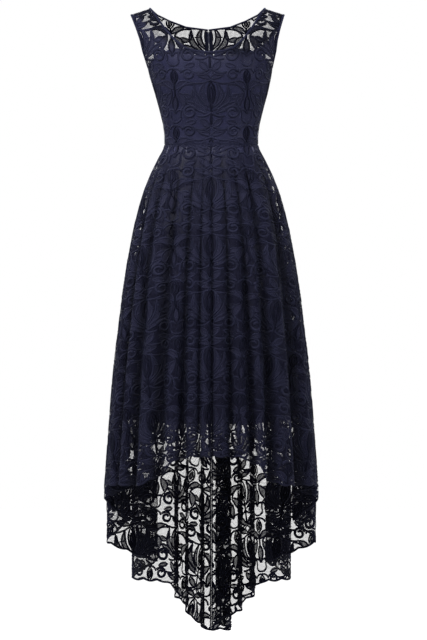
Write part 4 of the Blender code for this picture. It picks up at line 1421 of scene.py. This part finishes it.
TAB = join_all([eye, blade], "zip_pull_tab_cast")
print("tab faces:", len(TAB.data.polygons))

# %% [markdown]
# ## Effects as node groups
# Two effects are shared by several materials: the twist of thread and a woven surface. The
# meshes of the net are a third. Each is a node group, which gives only masks and heights,
# and the shader itself stays in each material. Pictures of cloth could be used as textures,
# but a formula has no seam and no light of its own in it.
# %% Node helpers
def new_group(name, inputs, outputs):
    """A shader node group with float inputs and outputs, and its two end nodes."""
    group = bpy.data.node_groups.new(name, "ShaderNodeTree")
    for label, value in inputs.items():
        kind = "NodeSocketVector" if value is None else "NodeSocketFloat"
        socket = group.interface.new_socket(label, in_out="INPUT", socket_type=kind)
        if value is not None:
            socket.default_value = value
    for label in outputs:
        group.interface.new_socket(label, in_out="OUTPUT", socket_type="NodeSocketFloat")
    start = group.nodes.new("NodeGroupInput")
    end = group.nodes.new("NodeGroupOutput")
    return group, start.outputs, end.inputs


def put(tree, kind, settings=None, links=None):
    """A node with its settings and values; a link is (input, output socket)."""
    node = tree.nodes.new(kind)
    for key, value in (settings or {}).items():
        if hasattr(node, key):
            setattr(node, key, value)
        else:
            node.inputs[key].default_value = value
    for key, socket in (links or {}).items():
        tree.links.new(socket, node.inputs[key])
    return node


def maths(tree, operation, *values):
    """A Math node on sockets or plain numbers."""
    node = tree.nodes.new("ShaderNodeMath")
    node.operation = operation
    for at, value in enumerate(values):
        if isinstance(value, (int, float)):
            node.inputs[at].default_value = value
        else:
            tree.links.new(value, node.inputs[at])
    return node.outputs[0]


def smooth_step(tree, value, low, high):
    """0 below low, 1 above high, smooth between them."""
    settings = {"interpolation_type": "SMOOTHSTEP"}
    node = put(tree, "ShaderNodeMapRange", settings, {"Value": value})
    for label, edge in (("From Min", low), ("From Max", high)):
        if isinstance(edge, (int, float)):
            node.inputs[label].default_value = edge
        else:
            tree.links.new(edge, node.inputs[label])
    return node.outputs[0]


print("helpers: groups, nodes, sums and smooth steps")

# %% Thread, net and weave
NET_FADE = 1.7  # a thread fades out at this many times its own share
SLOW_SHARE = 0.008  # a slow unevenness for each thread
WEAVE_SHARE = 0.25


def thread_group():
    """Fine uneven thread: a height for bump and a mask of lighter and darker places."""
    inputs = {"Place": None, "Threads per metre": 1400.0, "Patches per metre": 14.0}
    group, given, result = new_group("sewn_thread", inputs, ("Height", "Patches"))
    links = {"Vector": given["Place"], "Scale": given["Threads per metre"]}
    fine = put(group, "ShaderNodeTexNoise", {"Detail": 3.0, "Roughness": 0.65}, links)
    links = {"Vector": given["Place"], "Scale": given["Patches per metre"]}
    broad = put(group, "ShaderNodeTexNoise", {"Detail": 4.0, "Roughness": 0.6}, links)
    group.links.new(fine.outputs["Fac"], result["Height"])
    group.links.new(broad.outputs["Fac"], result["Patches"])
    return group


def net_group():
    """Six-sided meshes of net: 1 on a thread and 0 in a hole."""
    inputs = {"Place": None, "Meshes per metre": 330.0, "Thread share": 0.07}
    group, given, result = new_group("fine_net", inputs, ("Thread",))
    settings = {"voronoi_dimensions": "2D", "feature": "DISTANCE_TO_EDGE", "Randomness": 0.35}
    links = {"Vector": given["Place"], "Scale": given["Meshes per metre"]}
    cells = put(group, "ShaderNodeTexVoronoi", settings, links)
    wide = maths(group, "MULTIPLY", given["Thread share"], NET_FADE)
    hole = smooth_step(group, cells.outputs["Distance"], given["Thread share"], wide)
    group.links.new(maths(group, "SUBTRACT", 1.0, hole), result["Thread"])
    return group


def weave_group():
    """A fine twill: crossing waves with a slow unevenness, as a height."""
    inputs = {"Place": None, "Threads per metre": 1500.0, "Slant": 0.5}
    group, given, result = new_group("woven_threads", inputs, ("Height", "Patches"))
    split = put(group, "ShaderNodeSeparateXYZ", links={"Vector": given["Place"]}).outputs
    threads = given["Threads per metre"]
    slanted = maths(group, "MULTIPLY_ADD", split["Z"], given["Slant"], split["X"])
    turn = maths(group, "MULTIPLY", threads, 2 * math.pi)
    warp = maths(group, "SINE", maths(group, "MULTIPLY", slanted, turn))
    weft = maths(group, "SINE", maths(group, "MULTIPLY", split["Z"], turn))
    links = {"Vector": given["Place"], "Scale": maths(group, "MULTIPLY", threads, SLOW_SHARE)}
    slow = put(group, "ShaderNodeTexNoise", {"Detail": 4.0, "Roughness": 0.55}, links)
    crossed = maths(group, "MULTIPLY", warp, weft)
    both = maths(group, "MULTIPLY_ADD", crossed, WEAVE_SHARE, slow.outputs["Fac"])
    group.links.new(both, result["Height"])
    group.links.new(slow.outputs["Fac"], result["Patches"])
    return group


THREAD, NET, WEAVE = thread_group(), net_group(), weave_group()
print("node groups:", ", ".join(group.name for group in (THREAD, NET, WEAVE)))

# %% [markdown]
# ## Materials
# This navy is so dark that its base colours are nearly black. What light it gives back
# comes from the sewn cords, from a little sheen, and from the satin's shine, which is a
# thin coat over the cloth. In the folds, painted shade darkens the colour and fades the
# satin's shine, by the attribute that was kept with the meshes. A darker light would do
# that too, but would flatten the bodice.
# %% Helpers for the materials
SHEEN_ROUGHNESS = 0.45
FACTOR_IN, FIRST_IN, SECOND_IN, COLOUR_OUT = 0, 6, 7, 2  # a Mix node's sockets for colours
# Painted shade in the folds: the depth where it starts and ends, and the share of colour left.
PAINTED_FOLD_SHADE = (0.2, 1.0, 0.3)  # depth where the shade starts and ends, and what is left


def start_material(name, roughness, sheen, sheen_tint, metallic=0.0, gloss=0.05):
    """A material with a shader whose constants are set on its own sockets."""
    material = bpy.data.materials.new(name)
    material.use_nodes = True
    tree = material.node_tree
    shader = next(node for node in tree.nodes if node.type == "BSDF_PRINCIPLED")
    shader.inputs["Roughness"].default_value = roughness
    shader.inputs["Metallic"].default_value = metallic
    shader.inputs["Sheen Weight"].default_value = sheen
    shader.inputs["Sheen Roughness"].default_value = SHEEN_ROUGHNESS
    shader.inputs["Sheen Tint"].default_value = sheen_tint
    shader.inputs["Specular IOR Level"].default_value = gloss
    return material, tree, shader


def use_group(tree, group, place, **values):
    node = tree.nodes.new("ShaderNodeGroup")
    node.node_tree = group
    tree.links.new(place, node.inputs["Place"])
    for label, value in values.items():
        node.inputs[label.replace("_", " ").capitalize()].default_value = value
    return node


def mix_colours(tree, factor, dark, light):
    node = put(tree, "ShaderNodeMix", {"data_type": "RGBA"})
    node.inputs[FIRST_IN].default_value = (*dark, 1.0)
    node.inputs[SECOND_IN].default_value = (*light, 1.0)
    tree.links.new(factor, node.inputs[FACTOR_IN])
    return node.outputs[COLOUR_OUT]


def uneven_gloss(tree, shader, patches, low, high):
    """A roughness between two values, by the patches."""
    rough = put(tree, "ShaderNodeMapRange", {"To Min": low, "To Max": high}, {"Value": patches})
    tree.links.new(rough.outputs[0], shader.inputs["Roughness"])


def add_bump(tree, shader, height, distance, strength):
    settings = {"Strength": strength, "Distance": distance * MM}
    bump = put(tree, "ShaderNodeBump", settings, {"Height": height})
    tree.links.new(bump.outputs["Normal"], shader.inputs["Normal"])


def place_of(tree):
    return tree.nodes.new("ShaderNodeTexCoord").outputs["Object"]


def attribute(tree, name):
    return put(tree, "ShaderNodeAttribute", {"attribute_name": name}).outputs["Fac"]


def painted_light_left(tree):
    """Painted shade for the folds, as a share of light left: 1 outside, and little in their depth.
    """
    start, end, least = PAINTED_FOLD_SHADE
    shade = smooth_step(tree, attribute(tree, "fold_depth"), start, end)
    return maths(tree, "MULTIPLY_ADD", shade, least - 1.0, 1.0)


def with_painted_shade(tree, colour):
    """The colour with painted shade, darker in the depth of the folds."""
    scaled = put(tree, "ShaderNodeVectorMath", {"operation": "SCALE"}, {"Vector": colour})
    tree.links.new(painted_light_left(tree), scaled.inputs["Scale"])
    return scaled.outputs["Vector"]


# The share of colour that the painted shade leaves in the deepest folds.
print("light left in the deepest folds:", PAINTED_FOLD_SHADE[-1])

# %% Lace
NET_MESHES = 330.0
NET_THREAD_SHARE = 0.09
LEAF_EDGE = (-0.3, 0.5)  # millimetres outside and inside a leaf's outline
DARNING = (0.30, 0.62)  # the thread's heights between which the darning closes
DARNING_SHARE = 0.5
LEAF_COVER = 0.54  # the least that a filled leaf covers


def cord_material():
    """Sewn cord, with lighter and darker places along the thread."""
    material, tree, shader = start_material("lace_cord", 0.6, 0.03, (0.42, 0.52, 0.95, 1.0))
    thread = use_group(tree, THREAD, place_of(tree), threads_per_metre=1300.0)
    patches = smooth_step(tree, thread.outputs["Patches"], 0.3, 0.7)
    colour = mix_colours(tree, patches, (0.0065, 0.0068, 0.0160), (0.0105, 0.0110, 0.0250))
    # Painted shade darkens the cord's colour in the folds.
    tree.links.new(with_painted_shade(tree, colour), shader.inputs["Base Color"])
    add_bump(tree, shader, thread.outputs["Height"], 0.5, 0.8)
    return material


def net_material():
    """The net lets light through its meshes; filled leaves let little through."""
    material, tree, shader = start_material("lace_net", 0.7, 0.03, (0.45, 0.52, 0.9, 1.0))
    cloth = put(tree, "ShaderNodeUVMap", {"uv_map": "cloth"}).outputs["UV"]
    sizes = {"meshes_per_metre": NET_MESHES, "thread_share": NET_THREAD_SHARE}
    net = use_group(tree, NET, cloth, **sizes)
    leaf = smooth_step(tree, attribute(tree, "leaf_depth"), *LEAF_EDGE)
    thread = use_group(tree, THREAD, place_of(tree), threads_per_metre=1000.0)
    darning = smooth_step(tree, thread.outputs["Height"], *DARNING)
    cover = maths(tree, "MULTIPLY_ADD", darning, DARNING_SHARE, LEAF_COVER)
    filled = maths(tree, "MULTIPLY", leaf, cover)
    tree.links.new(maths(tree, "MAXIMUM", net.outputs["Thread"], filled), shader.inputs["Alpha"])
    colour = mix_colours(tree, leaf, (0.0110, 0.0112, 0.0250), (0.0105, 0.0108, 0.0240))
    # Painted shade darkens the net's colour in the folds.
    tree.links.new(with_painted_shade(tree, colour), shader.inputs["Base Color"])
    add_bump(tree, shader, thread.outputs["Height"], 0.3, 0.5)
    return material


CORD, NETTING = cord_material(), net_material()
print("lace materials:", CORD.name, "and", NETTING.name)

# %% Satin, tape, metal and nylon
SATIN_ROUGHNESS = 0.40, 0.52
SATIN_GLOSS = 0.4  # the share of a clear coat, which gives the satin's shine
SATIN_GLOSS_ROUGHNESS = 0.48
COAT_ROUGHNESS = 0.2
WEAR_SPREAD = -0.06, 0.08  # how far a hard surface's roughness goes down and up


def satin_material():
    """The shine is a thin coat, so that painted shade can fade it in the folds."""
    rough = SATIN_ROUGHNESS[0]
    material, tree, shader = start_material("navy_satin_cloth", rough, 0.06, (0.35, 0.4, 1.0, 1.0))
    shader.inputs["Coat Roughness"].default_value = SATIN_GLOSS_ROUGHNESS
    weave = use_group(tree, WEAVE, place_of(tree), threads_per_metre=1100.0)
    patches = smooth_step(tree, weave.outputs["Patches"], 0.3, 0.7)
    colour = mix_colours(tree, patches, (0.010, 0.011, 0.034), (0.016, 0.017, 0.052))
    # Painted shade darkens the satin's colour in the folds.
    tree.links.new(with_painted_shade(tree, colour), shader.inputs["Base Color"])
    uneven_gloss(tree, shader, patches, *SATIN_ROUGHNESS)
    # The coat's shine is faded in the folds by the painted shade, a painted loss of reflection.
    gloss = maths(tree, "MULTIPLY", painted_light_left(tree), SATIN_GLOSS)
    tree.links.new(gloss, shader.inputs["Coat Weight"])
    add_bump(tree, shader, weave.outputs["Height"], 0.15, 0.5)
    return material


def woven_material(name, dark, light, roughness, threads, strength):
    """A plain weave, such as the bindings and the zip's tapes have."""
    material, tree, shader = start_material(name, roughness, 0.06, (0.45, 0.55, 0.95, 1.0))
    weave = use_group(tree, WEAVE, place_of(tree), threads_per_metre=threads, slant=0.0)
    patches = smooth_step(tree, weave.outputs["Patches"], 0.3, 0.7)
    tree.links.new(mix_colours(tree, patches, dark, light), shader.inputs["Base Color"])
    add_bump(tree, shader, weave.outputs["Height"], 0.25, strength)
    return material


def hard_material(name, dark, light, roughness, metallic, coat):
    """Lacquer on cast metal, or nylon: faint wear and a slightly uneven gloss."""
    made = start_material(name, roughness, 0.0, (1, 1, 1, 1), metallic, gloss=0.5)
    material, tree, shader = made
    shader.inputs["Coat Weight"].default_value = coat
    shader.inputs["Coat Roughness"].default_value = COAT_ROUGHNESS
    sizes = {"threads_per_metre": 900.0, "patches_per_metre": 700.0}
    thread = use_group(tree, THREAD, place_of(tree), **sizes)
    patches = smooth_step(tree, thread.outputs["Patches"], 0.35, 0.65)
    tree.links.new(mix_colours(tree, patches, dark, light), shader.inputs["Base Color"])
    down, up = WEAR_SPREAD
    uneven_gloss(tree, shader, patches, roughness + down, roughness + up)
    add_bump(tree, shader, thread.outputs["Height"], 0.05, 0.3)
    return material


SATIN = satin_material()
BINDING = woven_material(
    "binding_satin",
    dark=(0.005, 0.0055, 0.014),
    light=(0.009, 0.0095, 0.023),
    roughness=0.6,
    threads=900.0,
    strength=0.5,
)
TAPE = woven_material(
    "zip_tape_twill",
    dark=(0.003, 0.0032, 0.008),
    light=(0.005, 0.0055, 0.013),
    roughness=0.75,
    threads=700.0,
    strength=0.9,
)
METAL = hard_material(
    "lacquered_metal",
    dark=(0.030, 0.034, 0.060),
    light=(0.060, 0.066, 0.100),
    roughness=0.34,
    metallic=0.85,
    coat=0.4,
)
NYLON = hard_material(
    "nylon_coil",
    dark=(0.012, 0.014, 0.034),
    light=(0.020, 0.023, 0.050),
    roughness=0.42,
    metallic=0.0,
    coat=0.2,
)
print("materials made:", len(bpy.data.materials))

# %% [markdown]
# ## What every piece is
# Each piece rides on a body of the frame, so that it would move with it: only the pull tab
# moves. Each piece hides the solids it stands for and gets its material. The zip's tapes
# keep their solids, and only get a new material. Parenting would move the pieces too, but
# riding also keeps their place.
# %% Give the finishes
def dress_piece(item, material, slot, body, *nodes):
    item.data.materials.clear()
    item.data.materials.append(material)
    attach(item, body)
    if nodes:
        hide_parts(*nodes)


for name in PANELS:
    dress_piece(NETS[name], NETTING, "navy_lace", "dress", name)
    dress_piece(CORDS[name], CORD, "navy_lace", "dress")
    dress_piece(EDGES[name], CORD, "navy_lace", "dress")
    for item in (NETS[name], CORDS[name], EDGES[name]):
        # The fold depth is kept so that the materials can paint shade into the valleys.
        keep_fold_depth(item)
for name, item in LININGS.items():
    dress_piece(item, SATIN, "navy_satin", "dress", name)
    keep_fold_depth(item)
for name, item in BINDINGS.items():
    dress_piece(item, BINDING, "navy_binding", "dress", name)
dress_piece(COIL, NYLON, "coil", "dress", "zip_chain")
dress_piece(SLIDER, METAL, "dark_metal", "dress", "zip_slider")
dress_piece(TAB, METAL, "dark_metal", "pull_tab", "zip_pull_tab")
for name in ("zip_tape_left", "zip_tape_right"):
    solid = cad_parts[name]
    for holder in solid.material_slots:
        holder.material = TAPE
print("pieces dressed:", 3 * len(PANELS) + len(LININGS) + len(BINDINGS) + 3)

# %% [markdown]
# ## How large the cloth was cut
# A tailor needs the flat size of every sheet. The lace panels carry it in their UV map. A
# lining is a little smaller than the lace over it, so its box is the lace's, made smaller
# by their areas. Measuring the bent meshes by hand would miss the length in the folds.
# %% Say what the sheets were cut to
LINING_BOX_MORE = 1.12  # a lining's box for its area, beside the lace's


def mesh_area(item):
    """The surface in square metres."""
    areas = np.empty(len(item.data.polygons), np.float32)
    item.data.polygons.foreach_get("area", areas)
    return float(areas.sum())


def cut_size(item):
    """Width, length and area of a sheet on the flat cloth, from its UV map, in metres."""
    flat = np.empty(2 * len(item.data.loops), np.float32)
    item.data.uv_layers["cloth"].data.foreach_get("uv", flat)
    flat = flat.reshape(-1, 4, 2)
    first, second = flat[:, 2] - flat[:, 0], flat[:, 3] - flat[:, 1]
    area = np.abs(first[:, 0] * second[:, 1] - first[:, 1] * second[:, 0]).sum() / 2
    width, length = np.ptp(flat.reshape(-1, 2), axis=0)
    return float(width), float(length), float(area)


TRIMS = {name: [CORDS[name], EDGES[name]] for name in PANELS}
for node, item in BINDINGS.items():
    for name in BODICE_PANELS:
        face, side = name.replace("bodice_", "").replace("_lace", "").partition("_")[::2]
        if face in node and (not side or side in node):
            TRIMS[name].append(item)
for name, item in NETS.items():
    width, length, area = cut_size(item)
    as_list(TRIMS[name])
    print(item.name, "was cut", round(width, 3), "x", round(length, 3), "m, area", round(area, 3))
for name, item in LININGS.items():
    like = NETS[name.replace("lining", "lace")]
    width, length, lace_area = cut_size(like)
    area = mesh_area(item) / 2
    smaller = min(1.0, (area / lace_area) ** 0.5 * LINING_BOX_MORE)
    width, length = width * smaller, length * smaller
    min(area, width * length)
    print(item.name, "was cut", round(width, 3), "x", round(length, 3), "m, area", round(area, 3))

# %% [markdown]
# ## Floor, light and camera
# The picture is a plain studio one: pale floor and surroundings, large soft lights. The
# camera stands far off and level, with a long lens, because the dress shows no perspective.
# The floor and the room look white to the camera but throw little light, as a far-off
# studio wall does. A bright world alone would light the folds from all sides.
# %% The stage
FLOOR_DROP = 1.475
FLOOR_SIZE = 60.0
ROOM_LIGHT = 0.1
WHITE = (1.0, 1.0, 1.0, 1.0)


def bright_to_camera(tree):
    """1 where the camera looks straight at it, and little for the light that it throws."""
    seen = tree.nodes.new("ShaderNodeLightPath").outputs["Is Camera Ray"]
    settings = {"To Min": ROOM_LIGHT, "To Max": 1.0}
    return put(tree, "ShaderNodeMapRange", settings, {"Value": seen}).outputs[0]


bpy.ops.object.select_all(action="DESELECT")
bpy.ops.mesh.primitive_plane_add(size=FLOOR_SIZE, location=(0, 0, 0))
FLOOR = bpy.context.active_object
FLOOR.name = "studio_floor"
FLOOR.data.transform(Matrix.Translation((0, 0, -FLOOR_DROP)))
PALE = bpy.data.materials.new("studio_pale")
PALE.use_nodes = True
pale_shader = next(node for node in PALE.node_tree.nodes if node.type == "BSDF_PRINCIPLED")
pale_shader.inputs["Base Color"].default_value = (0.9, 0.9, 0.9, 1)
pale_shader.inputs["Roughness"].default_value = 0.9
pale_shader.inputs["Emission Color"].default_value = WHITE
glow = bright_to_camera(PALE.node_tree)
PALE.node_tree.links.new(glow, pale_shader.inputs["Emission Strength"])
FLOOR.data.materials.append(PALE)
FLOOR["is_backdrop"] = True

world = bpy.data.worlds.new("studio")
bpy.context.scene.world = world
world.use_nodes = True
backdrop = next(node for node in world.node_tree.nodes if node.type == "BACKGROUND")
backdrop.inputs["Color"].default_value = WHITE
world.node_tree.links.new(bright_to_camera(world.node_tree), backdrop.inputs["Strength"])
bpy.context.scene.view_settings.view_transform = "Standard"
print("floor", round(FLOOR_DROP * 1000), "mm below the shoulders")

# %% The lights
MIDDLE = (0.0, 0.0, -0.7)


def soft_light(name, place, aim, size, power):
    light = bpy.data.lights.new(name, "AREA")
    light.shape = "DISK"
    light.size = size
    light.energy = power
    item = bpy.data.objects.new(name, light)
    item.location = place
    item.rotation_euler = (Vector(aim) - Vector(place)).to_track_quat("-Z", "Y").to_euler()
    bpy.context.scene.collection.objects.link(item)


soft_light("key", (-1.5, -1.1, 0.75), (0.0, 0.0, -0.35), 0.5, 62)
soft_light("front", (0.2, -1.1, 0.75), (0.0, 0.0, -0.1), 0.6, 30)
soft_light("fill", (2.2, -1.2, -0.1), MIDDLE, 0.7, 20)
soft_light("rim_left", (2.8, 2.4, 1.2), MIDDLE, 1.6, 40)
soft_light("rim_right", (-2.8, 2.4, 1.2), MIDDLE, 1.6, 40)
print("lights:", len(bpy.data.lights))

# %% The camera
CAMERA_FAR = 40.0
CLIP_END = 200.0
PIXEL_MM = 2.3
IMAGE_WIDE, IMAGE_HIGH = 427, 640
MIDDLE_PIXEL = 211.3  # the column of the dress's middle in the picture
SHOULDER_PIXEL = 11.0  # the row of drop 0
SENSOR = 36.0

camera_data = bpy.data.cameras.new("camera")
camera_data.sensor_fit = "AUTO"
camera_data.sensor_width = SENSOR
camera_data.lens = SENSOR * CAMERA_FAR / (PIXEL_MM * IMAGE_HIGH * MM)
camera_data.clip_end = CLIP_END
camera = bpy.data.objects.new("camera", camera_data)
across = (IMAGE_WIDE / 2 - MIDDLE_PIXEL) * PIXEL_MM * MM
down = (IMAGE_HIGH / 2 - SHOULDER_PIXEL) * PIXEL_MM * MM
camera.location = (across, -CAMERA_FAR, -down)
camera.rotation_euler = (math.pi / 2, 0, 0)
bpy.context.scene.collection.objects.link(camera)
bpy.context.scene.camera = camera
print("lens:", round(camera_data.lens), "mm")

# %% Finish
BOXES = {"cad": CAD_BOX, "visual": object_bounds()}
plain = {name: [[float(v) for v in corner] for corner in box] for name, box in BOXES.items()}
print("boxes:", plain)
